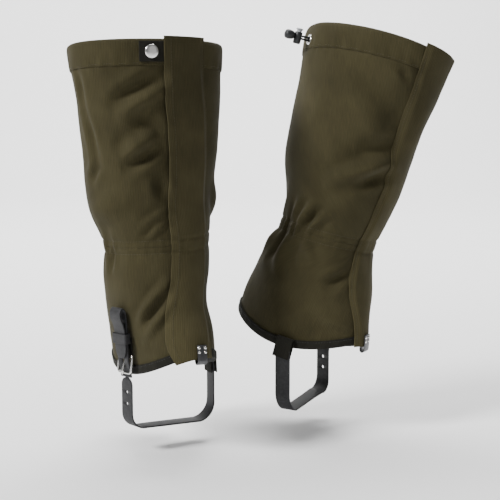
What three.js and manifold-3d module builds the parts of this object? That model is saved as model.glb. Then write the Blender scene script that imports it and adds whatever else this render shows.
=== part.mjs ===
// A pair of trekking gaiters, shaped as they stand when worn over boots.
// Millimetres, +Z up. The origin is the centre of the right gaiter's bottom opening.
//
// Each gaiter is a leg-shaped tube. A place on it is given by three numbers:
//   v, the height up the leg's own axis,
//   s, the distance round the leg from the middle of the front flap, positive to the outer side,
//   n, the distance outwards from the outer face of the main panels.
import * as THREE from 'three';
import { mergeVertices } from 'three/addons/utils/BufferGeometryUtils.js';
import Module from 'manifold-3d';

const wasm = await Module();
wasm.setup();

// ---------------------------------------------------------------- driving dimensions
const clearance = 0.3;
const cloth = 1.2;
const hemHeight = 30;
const channelDepth = 7;
const bindingHeight = 11;
const elasticHeight = 15;

// How finely the cloth is faceted: cells round the leg behind the flap, and rows up the leg.
const panelLines = 18;
const hemLines = 22;
const upperRows = 7;
const lowerRows = 4;

const flapHalf = 28;
const flapLift = 3.8;
const flapRoot = 1.9;
const outerEdge = -12;
const innerEdge = -16;

const cordRadius = 1.2;
const cordDepth = 3.9;
const cordDrop = 20;
const eyeletArc = -191;
const strandGap = 1.6;

const snapArc = 42;
const snapDrop = 14.5;
const snapRadius = 8;

const strapWidth = 20;
const strapThickness = 2;
const strapHole = 2.2;
const strapDrop = 82;
const strapCorner = 20;
const anchorArc = 113;
const buckleArc = 90;
const buckleLevel = 8;
const buckleStandOff = 2.6;
const buckleTwist = THREE.MathUtils.degToRad(7);
const wireRadius = 1.2;
const frameWidth = 24.8;
const frameFoot = [8.1, -20];
const outerPivot = -36;
const innerPivot = -16;

const hookArc = -10;
const hookWidth = 13;

// Stations: [v, half-width across the foot, half-length along the foot, sideways shift,
// bearing of the flap's middle from the inner side, in degrees].
const legs = {
  right: {
    side: 1,
    base: [-1.2, 0, -1.4],
    lean: -2.73,
    toe: 29,
    ankle: 136,
    top: { level: 367, slopeX: 0, slopeY: -0.11 },
    stations: [
      [-16, 50, 95, 3, 101],
      [30, 54, 87, 0.5, 93],
      [62, 56.5, 75, -3.5, 83],
      [100, 62.5, 65, -0.5, 76],
      [136, 64.5, 58, 1.5, 73],
      [180, 78, 59, -3.5, 74],
      [240, 84, 61, 0.5, 75],
      [300, 90.5, 61, 1, 77],
      [376, 99, 61, 0.8, 77],
    ],
  },
  left: {
    side: -1,
    base: [174.5, 80, 9.3],
    lean: 14.39,
    toe: 57,
    ankle: 127,
    top: { level: 368, slopeX: -0.09, slopeY: -0.23 },
    stations: [
      [-20, 50, 92, -4.5, 106],
      [30, 52, 86.5, -7.1, 101],
      [75, 56, 75, -8.1, 90],
      [105, 59, 63.5, -6.2, 96],
      [127, 60, 56.5, -3, 100],
      [160, 62, 63.5, -2.4, 98],
      [210, 63.5, 75.7, -6.1, 96],
      [270, 64, 82.4, -6.2, 90],
      [330, 64, 90.5, -4.6, 84],
      [380, 64, 97, -3.5, 80],
    ],
  },
};

// The bottom edge dips at the two sides, where the strap pulls it, and rises over the laces.
const hemLevel = -5;
const hemRise = 3;
const hemDip = -13;

// ---------------------------------------------------------------- finishes
const finish = (color, roughness, metalness = 0) => ({ color, roughness, metalness });
const finishes = {
  canvas: finish('#4d4830', 0.85),
  flapCanvas: finish('#413c28', 0.85),
  lining: finish('#2e2c22', 0.9),
  webbing: finish('#1b1b1a', 0.8),
  elastic: finish('#26251f', 0.9),
  tape: finish('#23221c', 0.95),
  cord: finish('#141414', 0.7),
  rubber: finish('#1d1e1f', 0.5),
  plastic: finish('#202122', 0.45),
  steel: finish('#c9c9c6', 0.25, 1),
  darkSteel: finish('#4a4b4d', 0.35, 1),
};

// ---------------------------------------------------------------- mesh helpers
function closedGeometry(positions, faces) {
  const geometry = new THREE.BufferGeometry();
  geometry.setAttribute('position', new THREE.Float32BufferAttribute(positions, 3));
  geometry.setIndex(faces.flat());
  return outward(geometry);
}

function signedVolume(geometry) {
  const at = geometry.attributes.position;
  const [a, b, c] = [0, 1, 2].map(() => new THREE.Vector3());
  let volume = 0;
  for (let i = 0; i < geometry.index.count; i += 3) {
    a.fromBufferAttribute(at, geometry.index.getX(i));
    b.fromBufferAttribute(at, geometry.index.getX(i + 1));
    c.fromBufferAttribute(at, geometry.index.getX(i + 2));
    volume += a.dot(b.cross(c)) / 6;
  }
  return volume;
}

// Merges shared corners, drops flattened triangles and turns the faces outwards.
function outward(geometry) {
  geometry.deleteAttribute('normal');
  geometry.deleteAttribute('uv');
  const merged = mergeVertices(geometry, 1e-4);
  const from = merged.index.array;
  const flip = signedVolume(merged) < 0;
  const kept = [];
  for (let i = 0; i < from.length; i += 3) {
    const [a, b, c] = [from[i], from[i + 1], from[i + 2]];
    if (a !== b && b !== c && c !== a) kept.push(a, flip ? c : b, flip ? b : c);
  }
  merged.setIndex(kept);
  merged.computeVertexNormals();
  return merged;
}

function toManifold(geometry) {
  const vertProperties = new Float32Array(geometry.attributes.position.array);
  const triVerts = new Uint32Array(geometry.index.array);
  return new wasm.Manifold(new wasm.Mesh({ numProp: 3, vertProperties, triVerts }));
}

function fromManifold(manifold) {
  const { vertProperties, triVerts } = manifold.getMesh();
  return closedGeometry(Array.from(vertProperties), [Array.from(triVerts)]);
}

function cut(geometry, ...tools) {
  return fromManifold(tools.reduce((body, tool) => body.subtract(toManifold(tool)), toManifold(geometry)));
}

function join(geometry, ...others) {
  return fromManifold(others.reduce((body, other) => body.add(toManifold(other)), toManifold(geometry)));
}

function box(size, centre) {
  return outward(new THREE.BoxGeometry(...size).translate(...centre));
}

// A solid of revolution about Y. The profile is a list of [radius, height], closed on itself.
function turned(profile, segments = 14) {
  const points = [...profile, profile[0]].map(([r, y]) => new THREE.Vector2(r, y));
  return outward(new THREE.LatheGeometry(points, segments));
}

function rod(radius, from, to, sides = 8) {
  const axis = new THREE.Vector3().subVectors(to, from);
  const geometry = new THREE.CylinderGeometry(radius, radius, axis.length(), sides);
  const upright = new THREE.Vector3(0, 1, 0);
  const turn = new THREE.Quaternion().setFromUnitVectors(upright, axis.clone().normalize());
  geometry.applyQuaternion(turn);
  geometry.translate(...new THREE.Vector3().addVectors(from, to).multiplyScalar(0.5));
  return outward(geometry);
}

// Joins rings of equal size into a closed solid. The ring must be convex if its ends are capped.
function loft(rings, closed = false) {
  const size = rings[0].length;
  const faces = [];
  const spans = closed ? rings.length : rings.length - 1;
  for (let i = 0; i < spans; i += 1) {
    const next = (i + 1) % rings.length;
    for (let k = 0; k < size; k += 1) {
      const [a, b] = [i * size + k, i * size + ((k + 1) % size)];
      const [c, d] = [next * size + k, next * size + ((k + 1) % size)];
      faces.push([a, b, d], [a, d, c]);
    }
  }
  if (!closed) {
    const end = (rings.length - 1) * size;
    for (let k = 1; k < size - 1; k += 1) {
      faces.push([0, k + 1, k], [end, end + k, end + k + 1]);
    }
  }
  return closedGeometry(rings.flat().flatMap((p) => p.toArray()), faces);
}

// Sweeps a convex outline of [across, through] along a path. Across follows the side direction.
function sweep(path, sides, outline, { closed = false, widths } = {}) {
  const count = path.length;
  const rings = path.map((point, i) => {
    const before = closed ? path[(i + count - 1) % count] : path[Math.max(i - 1, 0)];
    const after = closed ? path[(i + 1) % count] : path[Math.min(i + 1, count - 1)];
    const along = new THREE.Vector3().subVectors(after, before).normalize();
    const across = (Array.isArray(sides) ? sides[i] : sides).clone();
    across.addScaledVector(along, -across.dot(along)).normalize();
    const through = new THREE.Vector3().crossVectors(along, across);
    const scale = widths ? widths[i] : 1;
    return outline.map(([u, w]) => point.clone()
      .addScaledVector(across, u * scale).addScaledVector(through, w));
  });
  return loft(rings, closed);
}

const flat = (width, thickness) => [[-1, -1], [1, -1], [1, 1], [-1, 1]]
  .map(([u, w]) => [u * width / 2, w * thickness / 2]);

const round = (radius, count = 8) => Array.from({ length: count }, (_, k) => {
  const turn = 2 * Math.PI * (k + 0.5) / count;
  return [radius * Math.cos(turn), radius * Math.sin(turn)];
});

// A smooth path through [y, z] points of a local frame, in the plane x = 0.
function localPath(points, count) {
  const knots = points.map(([y, z]) => new THREE.Vector3(0, y, z));
  const curve = new THREE.CatmullRomCurve3(knots, false, 'centripetal');
  return count ? curve.getSpacedPoints(count) : curve.points;
}

// A rounded rectangle in the local x-y plane, as a closed path.
function roundedLoop(width, depth, radius, corner = 3) {
  const path = [];
  for (const [sx, sy, start] of [[1, 1, 0], [-1, 1, 1], [-1, -1, 2], [1, -1, 3]]) {
    for (let k = 0; k <= corner; k += 1) {
      const turn = (start + k / corner) * Math.PI / 2;
      path.push(new THREE.Vector3(
        sx * (width / 2 - radius) + radius * Math.cos(turn),
        sy * (depth / 2 - radius) + radius * Math.sin(turn),
        0,
      ));
    }
  }
  return path;
}

// ---------------------------------------------------------------- the leg's surface
const degrees = THREE.MathUtils.degToRad;
const mix = THREE.MathUtils.lerp;

// Smooth interpolation through the stations, level beyond the two ends.
function sectionAt(leg, v) {
  const { stations } = leg;
  const last = stations.length - 1;
  const height = THREE.MathUtils.clamp(v, stations[0][0], stations[last][0]);
  let i = 0;
  while (i < last - 1 && height > stations[i + 1][0]) i += 1;
  const slope = (k, c) => {
    const [low, high] = [stations[Math.max(k - 1, 0)], stations[Math.min(k + 1, last)]];
    return (high[c] - low[c]) / (high[0] - low[0]);
  };
  const [p, q] = [stations[i], stations[i + 1]];
  const span = q[0] - p[0];
  const t = (height - p[0]) / span;
  const value = (c) => p[c] * (1 + 2 * t) * (1 - t) ** 2 + slope(i, c) * span * t * (1 - t) ** 2
    + q[c] * t * t * (3 - 2 * t) - slope(i + 1, c) * span * t * t * (1 - t);
  return { across: value(1), along: value(2), shift: value(3), front: degrees(value(4)) };
}

function girthAt(leg, v) {
  const { across, along } = sectionAt(leg, v);
  const h = ((across - along) / (across + along)) ** 2;
  return Math.PI * (across + along) * (1 + 3 * h / (10 + Math.sqrt(4 - 3 * h)));
}

// The bearing round the section, from the inner side, reached after the arc s from the flap's middle.
function bearingAt(section, s) {
  const steps = 48;
  const speed = (turn) => Math.hypot(section.across * Math.sin(turn), section.along * Math.cos(turn));
  let turn = section.front;
  for (let i = 0; i < steps; i += 1) {
    const half = turn + 0.5 * (s / steps) / speed(turn);
    turn += (s / steps) / speed(half);
  }
  return turn;
}

function directions(leg) {
  const toe = degrees(leg.toe);
  return {
    inner: new THREE.Vector3(Math.cos(toe), Math.sin(toe), 0).multiplyScalar(leg.side),
    forward: new THREE.Vector3(Math.sin(toe), -Math.cos(toe), 0),
  };
}

function normalAt(leg, v, s) {
  const section = sectionAt(leg, v);
  const turn = bearingAt(section, s);
  const { inner, forward } = directions(leg);
  return inner.multiplyScalar(Math.cos(turn) / section.across)
    .addScaledVector(forward, Math.sin(turn) / section.along).normalize();
}

function surface(leg, v, s, n = 0) {
  const section = sectionAt(leg, v);
  const turn = bearingAt(section, s);
  const { inner, forward } = directions(leg);
  const point = new THREE.Vector3(section.shift, 0, v);
  point.addScaledVector(inner, section.across * Math.cos(turn));
  point.addScaledVector(forward, section.along * Math.sin(turn));
  return point.addScaledVector(normalAt(leg, v, s), n);
}

function hemAt(leg, s) {
  const turn = bearingAt(sectionAt(leg, hemLevel), s);
  return hemLevel + hemRise * Math.sin(turn) + hemDip * Math.cos(2 * turn);
}

function topAt(leg, s) {
  const { level, slopeX, slopeY } = leg.top;
  const point = surface(leg, level, s);
  return level + slopeX * point.x + slopeY * point.y;
}

// Rows that every layer shares: 0 is the bottom edge, 1 just above the binding, 2 the ankle,
// 3 the top hem's seam and 4 the top.
const row = (leg, w, extra = 0) => (s) => {
  const [hem, top] = [hemAt(leg, s), topAt(leg, s)];
  const marks = [hem, hem + bindingHeight + 4, leg.ankle, top - hemHeight, top];
  const i = Math.min(Math.floor(w), marks.length - 2);
  return mix(marks[i], marks[i + 1], w - i) + extra;
};

const rowsBetween = (leg, from, to, count) => Array.from(
  { length: count + 1 },
  (_, k) => row(leg, mix(from, to, k / count)),
);

// Where a line of arc, fixed or varying with v, meets a row of height, varying with s.
function crossing(leg, line, height) {
  if (typeof line === 'number') return [height(line), line];
  let v = leg.ankle;
  for (let i = 0; i < 4; i += 1) v = height(line(v));
  return [v, line(v)];
}

// A closed slab: two skins and a rim, on lines of constant arc and rows up the leg.
function slab(leg, lines, rows, outer, inner) {
  const skin = (offset) => rows.map((height) => lines.map((line) => {
    const [v, s] = crossing(leg, line, height);
    return surface(leg, v, s, typeof offset === 'number' ? offset : offset(s));
  }));
  const [nr, nc] = [rows.length, lines.length];
  const index = (layer, r, c) => layer * nr * nc + r * nc + c;
  const faces = [];
  const quad = (a, b, c, d) => faces.push([a, b, c], [a, c, d]);
  for (let r = 0; r < nr - 1; r += 1) {
    for (let c = 0; c < nc - 1; c += 1) {
      quad(index(0, r, c), index(0, r, c + 1), index(0, r + 1, c + 1), index(0, r + 1, c));
      quad(index(1, r, c), index(1, r + 1, c), index(1, r + 1, c + 1), index(1, r, c + 1));
    }
    quad(index(0, r, 0), index(0, r + 1, 0), index(1, r + 1, 0), index(1, r, 0));
    quad(index(0, r, nc - 1), index(1, r, nc - 1), index(1, r + 1, nc - 1), index(0, r + 1, nc - 1));
  }
  for (let c = 0; c < nc - 1; c += 1) {
    quad(index(0, 0, c), index(1, 0, c), index(1, 0, c + 1), index(0, 0, c + 1));
    quad(index(0, nr - 1, c), index(0, nr - 1, c + 1), index(1, nr - 1, c + 1), index(1, nr - 1, c));
  }
  const points = [...skin(outer), ...skin(inner)].flat();
  return closedGeometry(points.flatMap((p) => p.toArray()), faces);
}

// A U-shaped or plain rail running round the leg. The profile lists [n, height above the edge].
function rail(leg, lines, edge, profile) {
  const outline = profile.map(([n, z]) => new THREE.Vector2(n, z));
  const size = outline.length;
  const count = lines.length - 1;
  const points = [];
  const faces = [];
  for (const line of lines) {
    for (const [n, z] of profile) {
      const [v, s] = crossing(leg, line, (arc) => edge(arc) + z);
      points.push(surface(leg, v, s, n));
    }
  }
  for (let i = 0; i < count; i += 1) {
    for (let k = 0; k < size; k += 1) {
      const [a, b] = [i * size + k, i * size + ((k + 1) % size)];
      faces.push([a, b, b + size], [a, b + size, a + size]);
    }
  }
  const area = THREE.ShapeUtils.area(outline);
  for (const [a, b, c] of THREE.ShapeUtils.triangulateShape(outline, [])) {
    const same = area * THREE.ShapeUtils.area([outline[a], outline[b], outline[c]]) > 0;
    const [p, q] = same ? [b, c] : [c, b];
    const end = count * size;
    faces.push([a, q, p], [end + a, end + p, end + q]);
  }
  return closedGeometry(points.flatMap((p) => p.toArray()), faces);
}

// Arc lines round the whole leg, from the outer front edge round the back to the inner one.
// The flap's zone keeps a fixed pitch, so that its layers lie parallel.
const flapLines = [-14, -4, 8, 18, flapHalf];
const frontLines = [outerEdge, ...flapLines.slice(1)];

function ringLines(leg, count) {
  const line = (share) => (v) => mix(flapHalf, girthAt(leg, v) - flapHalf, share);
  const back = Array.from({ length: count }, (_, k) => line((k + 1) / count));
  return [...frontLines, ...back, (v) => girthAt(leg, v) - 22, (v) => girthAt(leg, v) + innerEdge];
}

// A frame on the cloth: +Y outwards, +Z up, +X = Y x Z along the cloth. It hangs upright, or
// leans with the cloth's own slope.
function frameAt(leg, v, s, { n = 0, twist = 0, leaning = false } = {}) {
  const out = normalAt(leg, v, s).applyAxisAngle(new THREE.Vector3(0, 0, 1), twist);
  const up = new THREE.Vector3(0, 0, 1);
  if (leaning) {
    up.subVectors(surface(leg, v + 6, s), surface(leg, v - 6, s)).normalize();
    out.addScaledVector(up, -out.dot(up)).normalize();
  }
  const matrix = new THREE.Matrix4().makeBasis(new THREE.Vector3().crossVectors(out, up), out, up);
  return matrix.setPosition(surface(leg, v, s).addScaledVector(out, n));
}

// ---------------------------------------------------------------- sewn pieces
function upperPanels(leg) {
  const rows = rowsBetween(leg, 2, 3, upperRows);
  rows[0] = row(leg, 2, clearance / 2);
  rows[rows.length - 1] = row(leg, 3, -2 * clearance);
  const ring = ringLines(leg, panelLines);
  const middle = frontLines.length + panelLines / 2 - 1;
  const seam = (offset) => (v) => girthAt(leg, v) / 2 + offset;
  const outer = [...ring.slice(0, middle), seam(-clearance)];
  const inner = [seam(clearance), ...ring.slice(middle + 1)];
  return {
    upper_outer_panel: [slab(leg, outer, rows, 0, -cloth), finishes.canvas],
    upper_inner_panel: [slab(leg, inner, rows, 0, -cloth), finishes.canvas],
  };
}

function lowerPanel(leg) {
  const rows = [row(leg, 0, 2.2), ...rowsBetween(leg, 1, 2, lowerRows)];
  rows[rows.length - 1] = row(leg, 2, -clearance / 2);
  return { lower_panel: [slab(leg, ringLines(leg, panelLines), rows, 0, -cloth), finishes.canvas] };
}

// A folded channel, open below where it is stitched down, with a hole for the cord.
function topHem(leg) {
  const profile = [
    [0, -hemHeight], [0, 0], [-channelDepth, 0], [-channelDepth, -hemHeight],
    [1 - channelDepth, -hemHeight], [1 - channelDepth, -1.2], [-1, -1.2], [-1, -hemHeight],
  ];
  const body = rail(leg, ringLines(leg, hemLines), (s) => topAt(leg, s), profile);
  const hole = rod(5.3, new THREE.Vector3(0, -2.5, 0), new THREE.Vector3(0, 4, 0), 14);
  hole.applyMatrix4(eyeletFrame(leg));
  return { top_hem: [cut(body, hole), finishes.canvas] };
}

function ankleElastic(leg) {
  const lines = ringLines(leg, panelLines).slice(frontLines.indexOf(18), -2);
  const level = (offset) => () => leg.ankle + offset * elasticHeight / 2;
  return { ankle_elastic: [slab(leg, lines, [-1, 0, 1].map(level), -2.2, -3.5), finishes.elastic] };
}

function hemBinding(leg) {
  const [outer, inner, wall] = [1.6, -2.8, 0.8];
  const profile = [
    [outer, bindingHeight], [outer, 0], [inner, 0], [inner, bindingHeight],
    [inner + wall, bindingHeight], [inner + wall, 1.8], [outer - wall, 1.8], [outer - wall, bindingHeight],
  ];
  const body = rail(leg, ringLines(leg, panelLines), (s) => hemAt(leg, s), profile);
  return { hem_binding: [body, finishes.webbing] };
}

function closure(leg) {
  const strips = flapLines.slice(1, -1);
  const rows = [...rowsBetween(leg, 1, 2, lowerRows), ...rowsBetween(leg, 2, 3, upperRows).slice(1)];
  return {
    underlap: [slab(leg, [-22, ...flapLines.slice(0, 3)], rows, -2.5, -3.5), finishes.lining],
    loop_tape: [slab(leg, strips, rows.slice(0, -1), 1.6, 2 * clearance), finishes.tape],
    hook_tape: [slab(leg, strips, rows.slice(0, -1), 3.3, 2), finishes.tape],
  };
}

// The flap is sewn down along its inner edge, and its free lower corner is cut back.
function flap(leg) {
  const rows = [
    row(leg, 0, -3), row(leg, 0, 5), ...rowsBetween(leg, 1, 2, lowerRows),
    ...rowsBetween(leg, 2, 3, upperRows).slice(1), row(leg, 4, 3),
  ];
  const cutBack = (v, s) => 12 * Math.max(0, 1 - (v - hemAt(leg, s) + 3) / 26) ** 2;
  const free = (share) => (v) => share - cutBack(v, share) * (share / flapHalf);
  const root = -flapHalf + 5;
  const lines = [-flapHalf, root - 0.2, root, ...flapLines.slice(0, 2), ...flapLines.slice(2).map(free)];
  const under = (s) => (s < root - 0.1 ? flapRoot : flapLift);
  const body = slab(leg, lines, rows, flapLift + cloth, under);
  return { flap: [cut(body, ...hookRivetHoles(leg)), finishes.flapCanvas] };
}

// ---------------------------------------------------------------- press stud at the flap's top
const snapFrame = (leg) => frameAt(leg, topAt(leg, snapArc) - snapDrop, snapArc, { leaning: true });

function snap(leg) {
  const [low, high] = [2.3, 3.4];
  const face = high + 2 * clearance;
  const rows = [-26, -14.5, -3].map((drop) => row(leg, 4, drop));
  const tab = slab(leg, [18, flapHalf, 35, 42, 49, 56], rows, high, low);
  const frame = snapFrame(leg);
  const hole = rod(2, new THREE.Vector3(0, 1, 0), new THREE.Vector3(0, 5, 0));
  const cap = turned([
    [0, face + 2.4], [snapRadius * 0.55, face + 2.1], [snapRadius * 0.9, face + 1.2],
    [snapRadius, face], [1.6, face], [1.6, low], [0, low],
  ], 16);
  const socket = turned([[4.1, 1.2], [5.4, 1.2], [5.4, 1.7], [4.1, 1.7]]);
  const stud = turned([[0, 0.4], [5, 0.4], [5, 0.9], [2.8, 0.9], [2.6, 1.8], [0, 1.8]]);
  return {
    snap_tab: [cut(tab, hole.applyMatrix4(frame)), finishes.webbing],
    snap_cap: [cap, finishes.steel, frame],
    snap_socket: [socket, finishes.steel, frame],
    snap_stud: [stud, finishes.steel, frame],
  };
}

// ---------------------------------------------------------------- lace hook at the flap's foot
const hookFrame = (leg) => frameAt(leg, hemAt(leg, hookArc) + 4, hookArc, { leaning: true });
const rivetSpots = [[-4.2, -0.8], [4.2, -0.8], [-4.2, 4.2], [4.2, 4.2]];

function rivetRods(radius, from, to) {
  return rivetSpots.map(([x, z]) => rod(radius, new THREE.Vector3(x, from, z), new THREE.Vector3(x, to, z)));
}

function hookRivetHoles(leg) {
  return rivetRods(1.4, 1, 9).map((tool) => tool.applyMatrix4(hookFrame(leg)));
}

function laceHook(leg) {
  const face = flapLift + cloth + 1.2;
  const backingFace = 2.2;
  const path = localPath([
    [face, 7.5], [face, 0], [face, -8],
    [face - 0.6, -12.5], [face - 3.2, -14.6], [face - 5.8, -12.6], [face - 6.2, -8.5],
  ], 12);
  const plate = sweep(path, new THREE.Vector3(1, 0, 0), flat(hookWidth, 1));
  const hook = cut(plate, ...rivetRods(1.4, 3, 10));
  const backing = box([hookWidth, 0.6, 9.4], [0, backingFace, 1.7]);
  const heads = rivetRods(1.9, face + 0.8, face + 1.6);
  const rivets = join(backing, ...rivetRods(1, backingFace, face + 1), ...heads);
  const frame = hookFrame(leg);
  return {
    lace_hook: [hook, finishes.darkSteel, frame],
    hook_rivets: [rivets, finishes.steel, frame],
  };
}

// ---------------------------------------------------------------- drawcord and its lock
const eyeletFrame = (leg) => frameAt(leg, topAt(leg, eyeletArc) - cordDrop, eyeletArc);
const lockReach = 16;
const endReach = 27.5;

function drawcord(leg) {
  const frame = eyeletFrame(leg);
  const local = (x, y, z) => new THREE.Vector3(x, y, z).applyMatrix4(frame);
  const level = (s) => topAt(leg, s) - cordDrop;
  const girth = girthAt(leg, leg.top.level);
  // The cord bends where the hem is faceted, so that it stays clear of both its walls.
  const arcs = ringLines(leg, hemLines).map((line) => crossing(leg, line, level)[1]);
  const channel = (from, to) => [from, ...arcs.filter((s) => s > from + 5 && s < to - 5), to]
    .map((s) => surface(leg, level(s), s, -cordDepth));
  const axis = (i) => new THREE.Vector3().setFromMatrixColumn(frame, i);
  // +X of the eyelet's frame runs to growing s on the right leg and to falling s on the left one.
  const x = (distance) => distance * leg.side;
  const out = (sign) => [
    local(x(5.2 * sign), -cordDepth, strandGap * 0.6 * sign),
    local(x(2.3 * sign), -2.1, strandGap * sign),
    local(x(1.1 * sign), 1.2, strandGap * sign),
    local(x(0.6 * sign), 6, strandGap * sign),
    local(0, lockReach, strandGap * sign),
    local(0, endReach - 3, strandGap * sign),
  ];
  const first = channel(girth + eyeletArc + 13, girth + innerEdge - 6).reverse();
  const second = channel(outerEdge + 6, girth + eyeletArc - 13).reverse();
  const turn = [[-0.6, 0.7], [0.1, 0], [-0.6, -0.7]]
    .map(([reach, share]) => local(0, endReach + reach, share * strandGap));
  const route = [...first, ...out(1), ...turn, ...out(-1).reverse(), ...second];
  // The section keeps its edge upright in the channel, and turns a quarter on its way out.
  const start = first.length + 3;
  const end = route.length - second.length - 4;
  const sides = route.map((_, i) => {
    const share = THREE.MathUtils.clamp(Math.min(i - start, end - i) / 2, 0, 1);
    return axis(2).lerp(axis(0), share).normalize();
  });
  return { drawcord: [sweep(route, sides, round(cordRadius)), finishes.cord] };
}

function cordFittings(leg) {
  const frame = eyeletFrame(leg);
  const outwards = (reach) => frame.clone().multiply(new THREE.Matrix4().makeTranslation(0, reach, 0));
  const lock = outwards(lockReach);
  const upright = (geometry) => outward(geometry.rotateX(Math.PI / 2));
  const slot = (low, high) => box([3.4, 20, high - low], [0, 0, (low + high) / 2]);
  const eyelet = turned([[4, 1.2], [6.2, 1.2], [6.6, 0.3], [4.9, 0.3], [4.9, -0.9], [4, -0.9]]);
  const barrel = cut(
    upright(turned([[0, -9], [4.3, -9], [4.7, -8], [4.7, 5.6], [3.4, 5.6], [3.4, -7.8], [0, -7.8]], 16)),
    slot(-3.4, 3.4),
  );
  const plunger = cut(
    upright(turned([[0, -4.4], [3.1, -4.4], [3.1, 8.2], [4.4, 8.2], [4.4, 9.6], [3.4, 10.4], [0, 10.4]], 16)),
    slot(-3.4, 5.6),
  );
  const coil = Array.from({ length: 17 }, (_, k) => {
    const turn = k * Math.PI / 4;
    return new THREE.Vector3(2.2 * Math.cos(turn), 2.2 * Math.sin(turn), mix(-7.2, -4.9, k / 16));
  });
  const spring = sweep(coil, new THREE.Vector3(0, 0, 1), round(0.22, 5));
  const end = turned([
    [0, 6.2], [3.2, 6.2], [5.4, 4.4], [5.8, 0.4], [5, -4.4], [3.9, -5.4],
    [3.6, -5.4], [3.6, 2.4], [0, 2.4],
  ], 16);
  return {
    eyelet: [eyelet, finishes.steel, frame],
    cord_lock_barrel: [barrel, finishes.plastic, lock],
    cord_lock_plunger: [plunger, finishes.plastic, lock],
    cord_lock_spring: [spring, finishes.steel, lock],
    cord_end: [end, finishes.plastic, outwards(endReach)],
  };
}

// ---------------------------------------------------------------- buckle, keeper and instep strap
function buckleFrame(leg) {
  return frameAt(leg, buckleLevel, buckleArc, { n: buckleStandOff, twist: leg.side * buckleTwist });
}

function anchorFrame(leg) {
  return frameAt(leg, hemAt(leg, -anchorArc) + bindingHeight, -anchorArc, { n: 1.4 });
}

const across = new THREE.Vector3(1, 0, 0);

function buckle(leg) {
  const bar = [4, 0];
  const loop = roundedLoop(frameWidth, Math.hypot(frameFoot[0] - bar[0], frameFoot[1]), 3.2);
  const tilt = Math.atan2(frameFoot[0] - bar[0], -frameFoot[1]);
  const place = new THREE.Matrix4().makeRotationX(Math.PI / 2 + tilt)
    .setPosition(0, (bar[0] + frameFoot[0]) / 2, frameFoot[1] / 2);
  const wirePath = loop.map((p) => p.applyMatrix4(place));
  const plane = new THREE.Vector3(0, 0, 1).transformDirection(place);
  const wire = sweep(wirePath, plane, round(wireRadius), { closed: true });

  const fold = Array.from({ length: 7 }, (_, k) => {
    const turn = -Math.PI * k / 6;
    return new THREE.Vector3(0, bar[0] + 2 * Math.cos(turn), 2 * Math.sin(turn));
  });
  const tabPath = [new THREE.Vector3(0, bar[0] + 2, 10), ...fold, new THREE.Vector3(0, bar[0] - 2, 22)];
  const tab = cut(sweep(tabPath, across, flat(strapWidth, 0.8)), box([4.2, 12, 7.4], [0, bar[0], 0]));

  const [eyeIn, eyeOut] = [1.6, 2.6];
  const ring = turned([[eyeIn, -1.6], [eyeOut, -1.6], [eyeOut, 1.6], [eyeIn, 1.6]], 16);
  const eye = outward(ring.rotateZ(Math.PI / 2));
  eye.translate(0, ...bar);
  const pinPath = localPath([[5.9, -1.3], [6, -4.6], [8.4, -11], [10.5, -17.5], [10.9, -21.6]], 8);
  const prong = join(eye, sweep(pinPath, across, flat(2.2, 1.4)));
  const frame = buckleFrame(leg);
  return {
    buckle_tab: [tab, finishes.webbing, frame],
    buckle_frame: [wire, finishes.steel, frame],
    buckle_prong: [prong, finishes.steel, frame],
  };
}

// The strap's upper end: through the frame, up the gaiter, over in a loop and down to its tip.
function strapTail(leg) {
  const path = localPath([
    [5, outerPivot + strapWidth / 2 + 0.6], [5.4, -20], [5.9, -14], [7.7, -7], [8, 0], [7.9, 10],
    [7.8, 30], [7.8, 46], [8.8, 54], [12.2, 57.6], [15.6, 54], [15.4, 46],
    [12.4, 38], [10.8, 31], [10.5, 18], [10.5, 6], [10.5, -2],
  ], 32);
  const widths = path.map((_, i) => (i < path.length - 4 ? 1 : 1 - 0.16 * (i - path.length + 4) ** 1.1));
  const band = sweep(path, across, flat(strapWidth, strapThickness), { widths });
  const throat = box([4.2, 6.7, 15], [0, 5.85, -6.5]);
  const hole = rod(strapHole, new THREE.Vector3(0, 5.3, 42), new THREE.Vector3(0, 10.3, 42));
  const tail = cut(band, throat, hole);
  const keeperLoop = roundedLoop(strapWidth + 4.6, 7.6, 1.6, 2);
  const keeper = sweep(keeperLoop, new THREE.Vector3(0, 0, 1), flat(12, 1.1), { closed: true });
  keeper.translate(0, 9.15, 21.5);
  const frame = buckleFrame(leg);
  return {
    strap_tail: [tail, finishes.rubber, frame],
    keeper: [keeper, finishes.rubber, frame],
  };
}

// The part that goes under the boot, hung between the buckle and the inner anchor.
function strapEnds(leg) {
  return {
    outer: new THREE.Vector3(0, 5, outerPivot).applyMatrix4(buckleFrame(leg)),
    inner: new THREE.Vector3(0, 4.3, innerPivot).applyMatrix4(anchorFrame(leg)),
  };
}

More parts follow.
